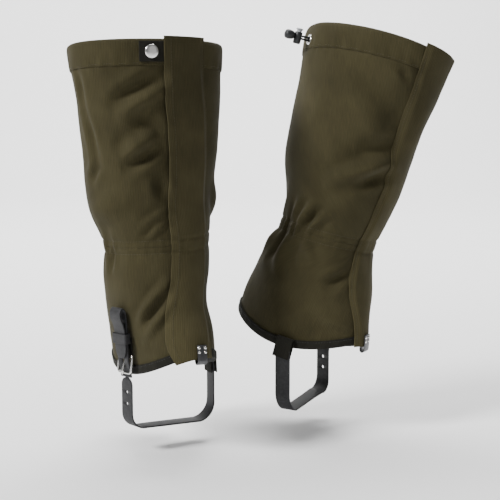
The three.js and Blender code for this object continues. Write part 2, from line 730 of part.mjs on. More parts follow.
function instepStrap(leg) {
  const { outer, inner } = strapEnds(leg);
  const down = new THREE.Vector3(0, 0, -1).applyAxisAngle(new THREE.Vector3(0, 1, 0), -degrees(leg.lean));
  const over = new THREE.Vector3().subVectors(inner, outer).normalize();
  const floor = (point, depth) => point.clone().addScaledVector(down, depth);
  const outerDrop = strapDrop + outerPivot + buckleLevel;
  const innerDrop = outerDrop + new THREE.Vector3().subVectors(outer, inner).dot(down);
  const [lowOuter, lowInner] = [floor(outer, outerDrop), floor(inner, innerDrop)];
  const corner = (low, sign) => [0, 1, 2, 3, 4].map((k) => {
    const turn = k * Math.PI / 8;
    return low.clone().addScaledVector(down, -strapCorner * (1 - Math.sin(turn)))
      .addScaledVector(over, sign * strapCorner * (1 - Math.cos(turn)));
  });
  const roundEnd = [-1, -0.92, -0.7, -0.35, 0];
  const lead = (point, toward) => roundEnd
    .map((f) => point.clone().addScaledVector(toward, f * strapWidth / 2));
  const outerAxis = new THREE.Vector3(0, 0, 1).transformDirection(buckleFrame(leg)).negate();
  const path = [
    ...lead(outer, outerAxis), floor(outer, 8),
    ...corner(lowOuter, 1), ...corner(lowInner, -1).reverse(),
    floor(inner, 12), ...lead(inner, outerAxis).reverse(),
  ];
  const endSide = (frame) => new THREE.Vector3(1, 0, 0).transformDirection(frame);
  const [from, to] = [endSide(buckleFrame(leg)), endSide(anchorFrame(leg)).negate()];
  const middle = new THREE.Vector3().crossVectors(down, over).multiplyScalar(-1);
  if (middle.dot(from) < 0) middle.negate();
  if (to.dot(middle) < 0) to.negate();
  const last = path.length - 1;
  const sides = path.map((_, i) => {
    const f = i / last;
    const [near, share] = f < 0.5 ? [from, f] : [to, 1 - f];
    return near.clone().lerp(middle, THREE.MathUtils.clamp(5 * share - 1, 0, 1));
  });
  const shares = roundEnd.map((f) => Math.max(0.12, Math.sqrt(1 - f * f)));
  const widths = path.map((_, i) => shares[i] ?? shares[last - i] ?? 1);
  const band = sweep(path, sides, flat(strapWidth, strapThickness), { widths });
  const holes = [8, 22].map((depth) => {
    const spot = floor(outer, depth);
    const out = new THREE.Vector3().crossVectors(from, down).normalize();
    return rod(strapHole, spot.clone().addScaledVector(out, -4), spot.clone().addScaledVector(out, 4));
  });
  return { instep_strap: [cut(band, ...holes), finishes.rubber] };
}

function strapAnchor(leg) {
  const path = [[0.9, -20], [0.9, 3], [2, 4.6], [4.3, 5.2], [6.6, 4.6], [7.7, 3], [7.7, -20]]
    .map(([y, z]) => new THREE.Vector3(0, y, z - 4));
  const fold = sweep(path, across, flat(strapWidth + 2, 0.8));
  return { strap_anchor: [fold, finishes.webbing, anchorFrame(leg)] };
}

// ---------------------------------------------------------------- assembly
function buildGaiter(name, leg) {
  const pieces = {
    ...upperPanels(leg),
    ...lowerPanel(leg),
    ...topHem(leg),
    ...ankleElastic(leg),
    ...hemBinding(leg),
    ...closure(leg),
    ...flap(leg),
    ...snap(leg),
    ...laceHook(leg),
    ...drawcord(leg),
    ...cordFittings(leg),
    ...buckle(leg),
    ...strapTail(leg),
    ...instepStrap(leg),
    ...strapAnchor(leg),
  };
  const group = new THREE.Group();
  for (const [piece, [geometry, look, frame]] of Object.entries(pieces)) {
    const mesh = new THREE.Mesh(geometry, new THREE.MeshStandardMaterial(look));
    mesh.name = `${name}_${piece}`;
    if (frame) frame.decompose(mesh.position, mesh.quaternion, mesh.scale);
    group.add(mesh);
  }
  group.position.set(...leg.base);
  group.rotation.y = degrees(leg.lean);
  return group;
}

const gaiters = new THREE.Group();
gaiters.add(buildGaiter('right', legs.right), buildGaiter('left', legs.left));

export default gaiters;
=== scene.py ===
import math
import bmesh
import bpy
import numpy as np
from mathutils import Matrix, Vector


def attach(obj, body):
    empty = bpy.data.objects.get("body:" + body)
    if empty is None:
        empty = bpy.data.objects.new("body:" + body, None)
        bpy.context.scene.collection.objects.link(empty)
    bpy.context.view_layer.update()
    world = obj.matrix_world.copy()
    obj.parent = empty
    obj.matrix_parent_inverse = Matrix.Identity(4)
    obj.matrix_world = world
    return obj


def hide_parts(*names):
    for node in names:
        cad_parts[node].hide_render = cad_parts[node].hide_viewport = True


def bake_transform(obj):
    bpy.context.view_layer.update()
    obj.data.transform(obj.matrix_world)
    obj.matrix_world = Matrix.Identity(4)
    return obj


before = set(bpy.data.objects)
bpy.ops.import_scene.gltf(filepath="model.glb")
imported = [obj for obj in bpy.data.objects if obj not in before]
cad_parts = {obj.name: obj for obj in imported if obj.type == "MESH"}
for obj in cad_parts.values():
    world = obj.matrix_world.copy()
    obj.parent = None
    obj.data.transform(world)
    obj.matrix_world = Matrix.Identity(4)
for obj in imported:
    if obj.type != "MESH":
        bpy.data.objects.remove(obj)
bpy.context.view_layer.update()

# Shapes are worked out in millimetres on each leg's own axis, and turned into metres in the row frame.
# A place on a gaiter is v, the height up the leg, s, the arc round it from the middle of the flap
# (positive to the outer side), and n, the distance outwards from the outer face of the main panels.
MM = 0.001
CLOTH = 1.2
HEM_HEIGHT = 30
BINDING = 11
ELASTIC = 15
FLAP_HALF = 28
FLAP_LIFT = 3.8
OUTER_EDGE = -12
INNER_EDGE = -16
SNAP_ARC = 42
SNAP_DROP = 14.5
HOOK_ARC = -10
EYELET_ARC = -191
CORD_DROP = 20
CORD_DEPTH = 3.9
ANCHOR_ARC = 113
BUCKLE_ARC = 90
BUCKLE_LEVEL = 8
STRAP_WIDTH = 20


# ---------------------------------------------------------------- camera
def add_camera():
    data = bpy.data.cameras.new("camera")
    data.lens = 90
    data.sensor_width = 36
    camera = bpy.data.objects.new("camera", data)
    place, target = Vector((0.1056, -1.4854, 0.3324)), Vector((0.1056, 0, 0.1236))
    camera.location = place
    camera.rotation_euler = (target - place).to_track_quat("-Z", "Y").to_euler()
    bpy.context.scene.collection.objects.link(camera)
    bpy.context.scene.camera = camera


add_camera()


# ---------------------------------------------------------------- the leg's surface
def smoothstep(x):
    x = np.clip(x, 0, 1)
    return x * x * (3 - 2 * x)


class Leg:
    """One gaiter's surface, the same one that the CAD pieces lie on, with the folds of the cloth."""

    def __init__(self, name, side, base, lean, toe, ankle, top, stations, creases, quiet, slack):
        self.name = name
        self.side = side
        self.base = np.array(base)
        self.lean = math.radians(lean)
        toe = math.radians(toe)
        self.inner = side * np.array([math.cos(toe), math.sin(toe)])
        self.forward = np.array([math.sin(toe), -math.cos(toe)])
        self.ankle = ankle
        self.level, self.slope_x, self.slope_y = top
        self.table = np.array(stations, float)
        low = self.table[[0, *range(len(stations) - 1)]]
        high = self.table[[*range(1, len(stations)), -1]]
        self.slopes = (high - low) / (high - low)[:, :1]
        self.creases = creases
        self.quiet = quiet
        self.slack = slack
        self.waves = np.random.default_rng(11 + side).uniform(0, 2 * math.pi, 12)

    def section(self, v):
        table = self.table
        v = np.clip(v, table[0, 0], table[-1, 0])
        i = np.searchsorted(table[1:-1, 0], v, side="left")
        p, q = table[i], table[i + 1]
        span = q[..., :1] - p[..., :1]
        t = (np.asarray(v)[..., None] - p[..., :1]) / span
        value = (
            p * (1 + 2 * t) * (1 - t) ** 2 + self.slopes[i] * span * t * (1 - t) ** 2
            + q * t * t * (3 - 2 * t) - self.slopes[i + 1] * span * t * t * (1 - t)
        )
        return value[..., 1], value[..., 2], value[..., 3], np.radians(value[..., 4])

    def girth(self, v):
        a, b = self.section(np.asarray(v, float))[:2]
        h = ((a - b) / (a + b)) ** 2
        return math.pi * (a + b) * (1 + 3 * h / (10 + np.sqrt(4 - 3 * h)))

    @staticmethod
    def bearing(a, b, front, s, steps=24):
        turn = front + 0 * s
        step = s / steps
        for _ in range(steps):
            half = turn + 0.5 * step / np.hypot(a * np.sin(turn), b * np.cos(turn))
            turn = turn + step / np.hypot(a * np.sin(half), b * np.cos(half))
        return turn

    def local(self, v, s, n):
        """A point on the leg's own axes and the outward direction there."""
        v, s, n = np.broadcast_arrays(np.asarray(v, float), np.asarray(s, float), np.asarray(n, float))
        a, b, shift, front = self.section(v)
        turn = self.bearing(a, b, front, s)
        normal = (np.cos(turn) / a)[..., None] * self.inner + (np.sin(turn) / b)[..., None] * self.forward
        normal /= np.linalg.norm(normal, axis=-1, keepdims=True)
        flat = (a * np.cos(turn))[..., None] * self.inner + (b * np.sin(turn))[..., None] * self.forward
        flat = flat + normal * n[..., None]
        point = np.stack([flat[..., 0] + shift, flat[..., 1], v], -1)
        return point, np.concatenate([normal, np.zeros_like(normal[..., :1])], -1)

    def at(self, p):
        """Points in the row frame, in metres, of points on the leg's own axes."""
        c, s = math.cos(self.lean), math.sin(self.lean)
        x, y, z = p[..., 0], p[..., 1], p[..., 2]
        return (np.stack([x * c + z * s, y, z * c - x * s], -1) + self.base) * MM

    def hem(self, s):
        """The height of the bottom edge, which dips at both sides and rises over instep and heel."""
        s = np.asarray(s, float)
        a, b, _, front = self.section(np.full_like(s, -5.0))
        turn = self.bearing(a, b, front, s)
        return -5 + 3 * np.sin(turn) - 13 * np.cos(2 * turn)

    def top(self, s):
        """The height of the mouth's edge, which slopes."""
        s = np.asarray(s, float)
        p, _ = self.local(np.full_like(s, self.level), s, 0)
        return self.level + self.slope_x * p[..., 0] + self.slope_y * p[..., 1]

    def wrapped(self, v, s):
        girth = self.girth(v)
        return (s + girth / 2) % girth - girth / 2, girth

    def folds(self, v, s):
        """How far the cloth stands out from the plain surface, in millimetres."""
        v, s = np.broadcast_arrays(np.asarray(v, float), np.asarray(s, float))
        s, girth = self.wrapped(v, s)
        out = np.zeros_like(v)
        for start, end, height, width in self.creases:
            out += crease(v, s, start, end, height, width)
        out += self.gathers(v, s) + self.drape(v, s, girth)
        for at_s, at_v, radius in self.quiet:
            out *= 1 - np.exp(-(((s - at_s) ** 2 + (v - at_v) ** 2) / radius**2) ** 1.5)
        return out

    def gathers(self, v, s):
        """Pleats that the ankle elastic and the top hem's stitching draw up."""
        up = v - self.ankle
        w = self.waves
        free = 0.2 + 0.8 * smoothstep((np.abs(s) - 84) / 30)
        out = 0.9 * np.sin(s / 1.55 + w[0] + 0.9 * np.sin(s / 17)) * np.exp(-((up / 12) ** 2))
        out += 1.0 * np.sin(s / 2.9 + w[1] + np.sin(s / 23 + w[2])) * np.exp(-((up / 24) ** 2))
        out += 1.5 * np.sin(s / 6.1 + w[3] + 1.1 * np.sin(s / 31)) * np.exp(-((up / 42) ** 2))
        seam = v - (self.top(s) - HEM_HEIGHT)
        out += 0.35 * np.sin(s / 2.3 + w[4] + np.sin(s / 13)) * np.exp(-((seam / 7) ** 2))
        stitched = 1.1 * np.exp(-(((np.abs(up) - ELASTIC / 2) / 2.2) ** 2))
        return out * free - stitched

    def drape(self, v, s, girth):
        """Broad soft unevenness, the same every run, which fades at the back seam."""
        w = self.waves
        out = 1.3 * np.sin(v / 27 + s / 41 + w[5]) * np.sin(s / 23 - v / 70 + w[6])
        out += 0.5 * np.sin(v / 13 - s / 33 + w[7]) * np.sin(s / 15 + v / 40 + w[8])
        out += 0.12 * np.sin(v / 6 + s / 9 + w[9]) * np.sin(s / 7 - v / 11 + w[10])
        falloff = smoothstep((girth / 2 - np.abs(s)) / 20)
        ends = smoothstep((v - self.hem(s)) / 30) * smoothstep((self.top(s) + 8 - v) / 40)
        low, high = self.slack
        sunk = (low + (high - low) * v / self.level) * np.exp(-(((s - 142) / 34) ** 2))
        return out * falloff * (0.35 + 0.65 * ends) - sunk


def crease(v, s, start, end, height, width):
    """A fold from one place to another: a rounded ridge with a furrow on each side, or the reverse."""
    ds, dv = end[0] - start[0], end[1] - start[1]
    length = math.hypot(ds, dv)
    along = ((s - start[0]) * ds + (v - start[1]) * dv) / length**2
    off = ((s - start[0]) * dv - (v - start[1]) * ds) / length
    inside = np.clip(along, 0, 1)
    swell = 0.35 + 0.65 * np.sin(math.pi * inside)
    ends = np.exp(-(((along - inside) * length / (0.7 * width)) ** 2)) * swell
    x = off / width
    return height * ends * (np.exp(-(x**2)) - 0.4 * np.exp(-((np.abs(x) - 1.7) ** 2) / 0.7))


# Where small hard parts lie on the cloth and hold it flat: arc, height and reach.
QUIET = [
    (SNAP_ARC, 358, 15), (HOOK_ARC, 6, 24), (BUCKLE_ARC, 26, 34), (-ANCHOR_ARC, -4, 26),
    (EYELET_ARC, 342, 16),
]

LEGS = [
    Leg(
        "right", 1, (-1.2, 0, -1.4), -2.73, 29, 136, (367, 0, -0.11),
        [
            (-16, 50, 95, 3, 101), (30, 54, 87, 0.5, 93), (62, 56.5, 75, -3.5, 83),
            (100, 62.5, 65, -0.5, 76), (136, 64.5, 58, 1.5, 73), (180, 78, 59, -3.5, 74),
            (240, 84, 61, 0.5, 75), (300, 90.5, 61, 1, 77), (376, 99, 61, 0.8, 77),
        ],
        creases=[
            ((30, 334), (86, 304), -7, 9), ((40, 316), (80, 292), 3.5, 9),
            ((50, 292), (62, 270), -5.1, 10), ((36, 262), (46, 284), -4.2, 9),
            ((38, 253), (76, 230), -6.7, 8), ((46, 264), (84, 242), 3.5, 9),
            ((82, 268), (81, 240), -2.9, 9), ((134, 345), (128, 296), -3.1, 6),
            ((128, 296), (113, 232), -4.1, 6), ((113, 232), (124, 216), -4.1, 6),
            ((39, 217), (33, 194), -4.5, 7), ((124, 178), (80, 188), 5.4, 13),
            ((52, 152), (29, 166), 2.6, 4.5), ((55, 163), (28, 178), 2.4, 5),
            ((60, 150), (44, 160), -2.2, 4), ((102, 133), (108, 108), -2.6, 4.5),
            ((31, 97), (67, 42), 4.1, 6), ((31, 80), (52, 50), -4.3, 6),
            ((29, 62), (61, 28), 3.8, 6), ((-60, 200), (-90, 150), 4.8, 10),
        ],
        quiet=QUIET,
        slack=(-2.5, 5.5),
    ),
    Leg(
        "left", -1, (174.5, 80, 9.3), 14.39, 57, 127, (368, -0.09, -0.23),
        [
            (-20, 50, 92, -4.5, 106), (30, 52, 86.5, -7.1, 101), (75, 56, 75, -8.1, 90),
            (105, 59, 63.5, -6.2, 96), (127, 60, 56.5, -3, 100), (160, 62, 63.5, -2.4, 98),
            (210, 63.5, 75.7, -6.1, 96), (270, 64, 82.4, -6.2, 90), (330, 64, 90.5, -4.6, 84),
            (380, 64, 97, -3.5, 80),
        ],
        creases=[
            ((-84, 322), (-43, 300), -4, 16), ((-36, 318), (-28, 246), -6, 18),
            ((-30, 254), (-75, 238), -7.5, 12), ((-30, 236), (-97, 196), 6.5, 10),
            ((-30, 222), (-56, 206), -6, 8), ((-49, 347), (-37, 338), -3.2, 5),
            ((-118, 132), (-105, 166), 3.6, 6), ((-101, 127), (-83, 157), 3.4, 6),
            ((-130, 130), (-128, 164), 3.0, 6), ((-108, 128), (-95, 160), -3.6, 5),
            ((-155, 116), (-173, 84), 4.5, 7), ((-124, 113), (-128, 70), 4.6, 7),
            ((-98, 117), (-79, 96), 3.4, 6), ((-134, 114), (-149, 78), -4.0, 6),
            ((-110, 114), (-103, 82), -3.4, 6), ((-30, 92), (-57, 70), -6.5, 7),
            ((-77, 32), (-36, 30), 2.6, 8),
        ],
        quiet=QUIET,
        slack=(0, 0),
    ),
]


# ---------------------------------------------------------------- frames on the cloth
class Frame:
    """A place for a small part: +Y outwards, +Z up, +X = Y x Z along the cloth."""

    def __init__(self, leg, v, s, n=0.0, twist=0.0, leaning=False):
        self.leg = leg
        point, out = leg.local(v, s, 0)
        c, k = math.cos(twist), math.sin(twist)
        out = np.array([out[0] * c - out[1] * k, out[0] * k + out[1] * c, 0])
        up = np.array([0.0, 0.0, 1.0])
        if leaning:
            up = leg.local(v + 6, s, 0)[0] - leg.local(v - 6, s, 0)[0]
            up /= np.linalg.norm(up)
            out = out - up * (out @ up)
            out /= np.linalg.norm(out)
        self.axes = np.array([np.cross(out, up), out, up])
        self.origin = point + out * n

    @property
    def name(self):
        return self.leg.name

    def at(self, points):
        """Points in the row frame, in metres, of points in this frame, in millimetres."""
        return self.leg.at(np.asarray(points, float) @ self.axes + self.origin)

    def shifted(self, offset):
        other = Frame.__new__(Frame)
        other.leg = self.leg
        other.axes = self.axes
        other.origin = self.origin + np.asarray(offset, float) @ self.axes
        return other


def snap_frame(leg):
    return Frame(leg, float(leg.top(SNAP_ARC)) - SNAP_DROP, SNAP_ARC, leaning=True)


def hook_frame(leg):
    return Frame(leg, float(leg.hem(HOOK_ARC)) + 4, HOOK_ARC, leaning=True)


def eyelet_frame(leg):
    return Frame(leg, float(leg.top(EYELET_ARC)) - CORD_DROP, EYELET_ARC)


def buckle_frame(leg):
    return Frame(leg, BUCKLE_LEVEL, BUCKLE_ARC, n=2.6, twist=leg.side * math.radians(7))


def anchor_frame(leg):
    return Frame(leg, float(leg.hem(-ANCHOR_ARC)) + BINDING, -ANCHOR_ARC, n=1.4)


# ---------------------------------------------------------------- meshes
def new_object(name, points, faces, material, weave=None, weld=False):
    mesh = bpy.data.meshes.new(name)
    mesh.from_pydata([tuple(p) for p in points], [], [tuple(int(i) for i in f) for f in faces])
    if weave is not None:
        attribute = mesh.attributes.new("weave", "FLOAT_VECTOR", "POINT")
        attribute.data.foreach_set("vector", np.asarray(weave, np.float32).ravel())
    work = bmesh.new()
    work.from_mesh(mesh)
    if weld:
        bmesh.ops.remove_doubles(work, verts=work.verts, dist=2e-6)
    bmesh.ops.recalc_face_normals(work, faces=work.faces)
    work.to_mesh(mesh)
    work.free()
    for polygon in mesh.polygons:
        polygon.use_smooth = True
    mesh.materials.append(MATERIALS[material])
    obj = bpy.data.objects.new(name, mesh)
    bpy.context.scene.collection.objects.link(obj)
    return obj


def sharpen(obj):
    """Marks the edges that stay crisp under smooth shading, where the faces turn by 40 degrees or more."""
    mesh = obj.data
    work = bmesh.new()
    work.from_mesh(mesh)
    for edge in work.edges:
        edge.smooth = len(edge.link_faces) == 2 and edge.calc_face_angle(0) < math.radians(40)
    work.to_mesh(mesh)
    work.free()
    return obj


def grid_faces(rows, columns, start=0, closed_rows=False, closed_columns=False):
    r = np.arange(rows if closed_rows else rows - 1)[:, None]
    c = np.arange(columns if closed_columns else columns - 1)[None, :]
    a, b = r * columns + c, r * columns + (c + 1) % columns
    d, e = ((r + 1) % rows) * columns + c, ((r + 1) % rows) * columns + (c + 1) % columns
    return np.stack([a, b, e, d], -1).reshape(-1, 4) + start


def tube_faces(count, size, closed=False):
    """The faces over a row of closed rings, with both ends capped unless the row itself is closed."""
    faces = [tuple(f) for f in grid_faces(count, size, closed_rows=closed, closed_columns=True)]
    if not closed:
        faces += [tuple(range(size)), tuple(range((count - 1) * size, count * size))]
    return faces


def spaced(count, lip):
    """Shares from 0 to 1, and the fixed distances that make a narrow rounded lip at each end."""
    share = np.concatenate([[0, 0], np.linspace(0, 1, count), [1, 1]])
    offset = np.zeros(len(share))
    offset[1], offset[-2] = 0.35 * lip, -0.35 * lip
    offset[2], offset[-3] = lip, -lip
    return share, offset


def slab(name, leg, arcs, heights, counts, skins, material, lip=0.5):
    """A piece of cloth between two arcs and two heights, closed, with rounded edges."""
    (share_s, off_s), (share_v, off_v) = spaced(counts[0], lip), spaced(counts[1], lip)
    v = np.full((len(share_v), len(share_s)), float(leg.ankle))
    for _ in range(5):
        s = arcs[0](v) * (1 - share_s) + arcs[1](v) * share_s + off_s
        v = heights[0](s) * (1 - share_v[:, None]) + heights[1](s) * share_v[:, None] + off_v[:, None]
    outer, inner = (skin(v, s) if callable(skin) else np.full_like(v, skin) for skin in skins)
    full = np.ones_like(v)
    for line, amount in ((0, 0.3), (1, 0.75)):
        for edge in (np.s_[line, :], np.s_[-1 - line, :], np.s_[:, line], np.s_[:, -1 - line]):
            full[edge] = np.minimum(full[edge], amount)
    middle, half = (outer + inner) / 2, (outer - inner) / 2
    folds = leg.folds(v, s)
    skin_points = [leg.at(leg.local(v, s, middle + sign * half * full + folds)[0]) for sign in (1, -1)]
    rows, columns = v.shape
    size = rows * columns
    ring = np.concatenate([
        np.arange(columns), np.arange(2, rows + 1) * columns - 1,
        np.arange(size - 2, size - columns - 1, -1), np.arange(rows - 2, 0, -1) * columns,
    ])
    after = np.roll(ring, -1)
    rim = np.stack([ring, ring + size, after + size, after], -1)
    faces = np.concatenate([grid_faces(rows, columns), grid_faces(rows, columns, size)[:, ::-1], rim])
    points = np.concatenate([p.reshape(-1, 3) for p in skin_points])
    weave = np.stack([s, v, np.zeros_like(v)], -1).reshape(-1, 3)
    return new_object(f"{leg.name}_{name}", points, faces, material, np.concatenate([weave, weave]))


def rail(name, leg, profile, edge, columns, material, ripple):
    """A folded strip running round the leg. The profile lists [n, height above the edge]."""
    n, z = np.array(profile, float).T
    v = np.full((columns, len(n)), float(leg.ankle))
    share = np.linspace(0, 1, columns)[:, None]
    for _ in range(4):
        s = OUTER_EDGE * (1 - share) + (leg.girth(v) + INNER_EDGE) * share
        v = edge(s) + z
    out = n + leg.folds(v, s) + ripple(s, z)
    points = leg.at(leg.local(v, s, out)[0]).reshape(-1, 3)
    across = np.concatenate([[0], np.cumsum(np.hypot(np.diff(n), np.diff(z)))])
    weave = np.stack([s, np.broadcast_to(across, s.shape), np.zeros_like(s)], -1).reshape(-1, 3)
    return new_object(f"{leg.name}_{name}", points, tube_faces(columns, len(n)), material, weave)


def between(t, first, last, start, end):
    return ((end - t) * first + (t - start) * last) / (end - start)


def spline(points, count):
    """Evenly spaced places on a smooth path through the points (centripetal Catmull-Rom)."""
    p = np.array(points, float)
    p = np.vstack([2 * p[0] - p[1], p, 2 * p[-1] - p[-2]])
    dense = []
    for i in range(1, len(p) - 2):
        q = p[i - 1:i + 3]
        steps = np.linalg.norm(np.diff(q, axis=0), axis=1)
        knot = np.concatenate([[0], np.cumsum(np.sqrt(steps))])
        t = np.linspace(knot[1], knot[2], 16, endpoint=False)[:, None]
        a = [between(t, q[k], q[k + 1], knot[k], knot[k + 1]) for k in range(3)]
        b = [between(t, a[k], a[k + 1], knot[k], knot[k + 2]) for k in range(2)]
        dense.append(between(t, *b, knot[1], knot[2]))
    return even(np.vstack([*dense, p[-2:-1]]), count, closed=False)


def rounded(width, thickness, radius, corner=3):
    """A rounded rectangle as a list of [across, through]."""
    outline = []
    for sx, sy, quarter in ((1, 1, 0), (-1, 1, 1), (-1, -1, 2), (1, -1, 3)):
        for k in range(corner + 1):
            turn = (quarter + k / corner) * math.pi / 2
            outline.append([
                sx * (width / 2 - radius) + radius * math.cos(turn),
                sy * (thickness / 2 - radius) + radius * math.sin(turn),
            ])
    return np.array(outline)


def circle(radius, count=16):
    turn = 2 * math.pi * np.arange(count) / count
    return radius * np.stack([np.cos(turn), np.sin(turn)], -1)


def unit(vectors):
    return vectors / np.linalg.norm(vectors, axis=-1, keepdims=True)


def distance_along(path):
    """How far along the path each of its points is."""
    return np.concatenate([[0], np.cumsum(np.linalg.norm(np.diff(path, axis=0), axis=1))])


def places_along(where, run, path):
    return np.stack([np.interp(where, run, path[:, k]) for k in range(3)], -1)


def even(points, count, closed=True):
    """The same path with evenly spaced points."""
    p = np.vstack([points, points[:1]]) if closed else np.asarray(points, float)
    run = distance_along(p)
    where = np.linspace(0, run[-1], count + (1 if closed else 0))[: count if closed else None]
    return places_along(where, run, p)


def sweep(name, path, sides, outline, material, at, closed=False, widths=None):
    """Sweeps an outline along a path in a frame or on a leg, its width kept along the sides."""
    path = np.asarray(path, float)
    if closed:
        along = unit(np.roll(path, -1, 0) - np.roll(path, 1, 0))
    else:
        along = unit(np.gradient(path, axis=0))
    sides = np.broadcast_to(np.asarray(sides, float), path.shape)
    across = unit(sides - along * (sides * along).sum(-1, keepdims=True))
    through = np.cross(along, across)
    scale = np.ones(len(path)) if widths is None else np.asarray(widths, float)
    rings = (
        path[:, None]
        + across[:, None] * (outline[:, 0] * scale[:, None])[..., None]
        + through[:, None] * outline[None, :, 1:]
    )
    faces = tube_faces(len(path), len(outline), closed)
    weave = np.stack(np.broadcast_arrays(outline[:, 0], distance_along(path)[:, None], outline[:, 1]), -1)
    return new_object(f"{at.name}_{name}", at.at(rings.reshape(-1, 3)), faces, material, weave)


def lathe(name, at, profile, material, segments=40, upright=False):
    """Turns a profile of [radius, height] about the frame's Y, or about its Z when upright."""
    turn = 2 * math.pi * np.arange(segments) / segments
    r, h = np.array(profile, float).T
    x, y = np.outer(r, np.cos(turn)), np.outer(r, np.sin(turn))
    z = np.broadcast_to(h[:, None], x.shape)
    points = np.stack([x, y, z] if upright else [x, z, y], -1).reshape(-1, 3)
    ends_open = r[0] > 0 or r[-1] > 0
    faces = grid_faces(len(r), segments, closed_rows=ends_open, closed_columns=True)
    return sharpen(new_object(f"{at.name}_{name}", at.at(points), faces, material, weld=True))


def carve(obj, cutters):
    """Cuts the other objects out of this one."""
    for cutter in cutters:
        modifier = obj.modifiers.new("cut", "BOOLEAN")
        modifier.operation = "DIFFERENCE"
        modifier.solver = "EXACT"
        modifier.object = cutter
    shaped = obj.evaluated_get(bpy.context.evaluated_depsgraph_get())
    mesh = bpy.data.meshes.new_from_object(shaped)
    obj.modifiers.clear()
    obj.data = mesh
    for cutter in cutters:
        bpy.data.objects.remove(cutter)
    return obj


def rod(at, start, end, radius, segments=20):
    """A plain cylinder to cut a hole with."""
    path = np.array([start, end], float)
    side = [1, 0, 0] if abs(path[1] - path[0])[0] < 1e-6 else [0, 0, 1]
    return sweep("cutter", path, side, circle(radius, segments), "steel", at)


# ---------------------------------------------------------------- thread
STITCH_PITCH = 3.4
STITCH_LENGTH = 2.5
# A stitch's rings: how far along it they are, their girth and how high they stand.
STITCH_RINGS = [(-0.5, 0.35, -0.1), (-0.25, 0.9, 0.12), (0.25, 0.9, 0.12), (0.5, 0.35, -0.1)]
STITCH_SIDES = 6


def stitches(name, leg, s, v, n, material, radius):
    """A row of stitches along a line on the cloth."""
    share = np.linspace(0, 1, 2000)
    given = np.broadcast_arrays(np.asarray(s, float), np.asarray(v, float), np.asarray(n, float))
    s, v, n = (np.interp(share, np.linspace(0, 1, len(x)), x) for x in given)
    path, out = leg.local(v, s, n + leg.folds(v, s))
    run = distance_along(path)
    starts = np.arange(STITCH_PITCH / 2, run[-1] - STITCH_LENGTH, STITCH_PITCH)
    middle = places_along(starts + STITCH_LENGTH / 2, run, path)
    normal = places_along(starts + STITCH_LENGTH / 2, run, out)
    direction = unit(places_along(starts + STITCH_LENGTH, run, path) - places_along(starts, run, path))
    side = np.cross(direction, normal)
    points = np.stack([
        middle + direction * (reach * STITCH_LENGTH) + normal * (radius * (lift + girth * math.sin(turn)))
        + side * (radius * girth * math.cos(turn))
        for reach, girth, lift in STITCH_RINGS
        for turn in (2 * math.pi * k / STITCH_SIDES for k in range(STITCH_SIDES))
    ], 1)
    count, size = points.shape[:2]
    one = tube_faces(len(STITCH_RINGS), STITCH_SIDES)
    faces = [tuple(i + k * size for i in face) for k in range(count) for face in one]
    return new_object(f"{leg.name}_{name}", leg.at(points.reshape(-1, 3)), faces, material)


# ---------------------------------------------------------------- materials
def node(tree, kind, **values):
    made = tree.nodes.new(kind)
    for key, value in values.items():
        if key.startswith("in_"):
            made.inputs[key[3:].replace("_", " ")].default_value = value
        else:
            setattr(made, key, value)
    return made


MATERIALS = {}


def shader(name, roughness, metallic=0.0, **sockets):
    """A new material, kept under its name, with its node tree and its main node."""
    material = bpy.data.materials.new(name)
    MATERIALS[name] = material
    material.use_nodes = True
    tree = material.node_tree
    tree.nodes.clear()
    out = node(tree, "ShaderNodeOutputMaterial")
    principled = node(tree, "ShaderNodeBsdfPrincipled")
    tree.links.new(principled.outputs[0], out.inputs[0])
    principled.inputs["Roughness"].default_value = roughness
    principled.inputs["Metallic"].default_value = metallic
    for key, value in sockets.items():
        principled.inputs[key.replace("_", " ")].default_value = value
    return tree, principled


def mapped(tree, source, scale, turn=0.0):
    mapping = node(tree, "ShaderNodeMapping")
    mapping.inputs["Scale"].default_value = scale
    mapping.inputs["Rotation"].default_value = (0, 0, turn)
    tree.links.new(source, mapping.inputs["Vector"])
    return mapping.outputs[0]


def noise(tree, vector, scale, detail=3.0, rough=0.55):
    made = node(tree, "ShaderNodeTexNoise", in_Scale=scale, in_Detail=detail, in_Roughness=rough)
    tree.links.new(vector, made.inputs["Vector"])
    return made.outputs["Fac"]


def blend_colours(tree, factor, low, high, start=0.3, end=0.7):
    ramp = node(tree, "ShaderNodeValToRGB")
    ramp.color_ramp.elements[0].position = start
    ramp.color_ramp.elements[1].position = end
    ramp.color_ramp.elements[0].color = (*low, 1)
    ramp.color_ramp.elements[1].color = (*high, 1)
    tree.links.new(factor, ramp.inputs[0])
    return ramp.outputs[0]


def multiply_colours(tree, a, b, share):
    mix = node(tree, "ShaderNodeMix", data_type="RGBA", blend_type="MULTIPLY")
    mix.inputs[0].default_value = share
    tree.links.new(a, mix.inputs[6])
    tree.links.new(b, mix.inputs[7])
    return mix.outputs[2]


def add_values(tree, a, b, share):
    scaled = node(tree, "ShaderNodeMath", operation="MULTIPLY_ADD")
    scaled.inputs[1].default_value = share
    tree.links.new(b, scaled.inputs[0])
    tree.links.new(a, scaled.inputs[2])
    return scaled.outputs[0]


def bands(tree, vector, axis):
    """Stripes across one axis. One full stripe is pi/10 units of the vector."""
    wave = node(tree, "ShaderNodeTexWave", wave_type="BANDS", bands_direction=axis, wave_profile="SIN")
    wave.inputs["Scale"].default_value = 1
    tree.links.new(vector, wave.inputs["Vector"])
    return wave.outputs["Fac"]


STRIPE = math.pi / 10


def greys(low, high):
    return (low,) * 3, (high,) * 3


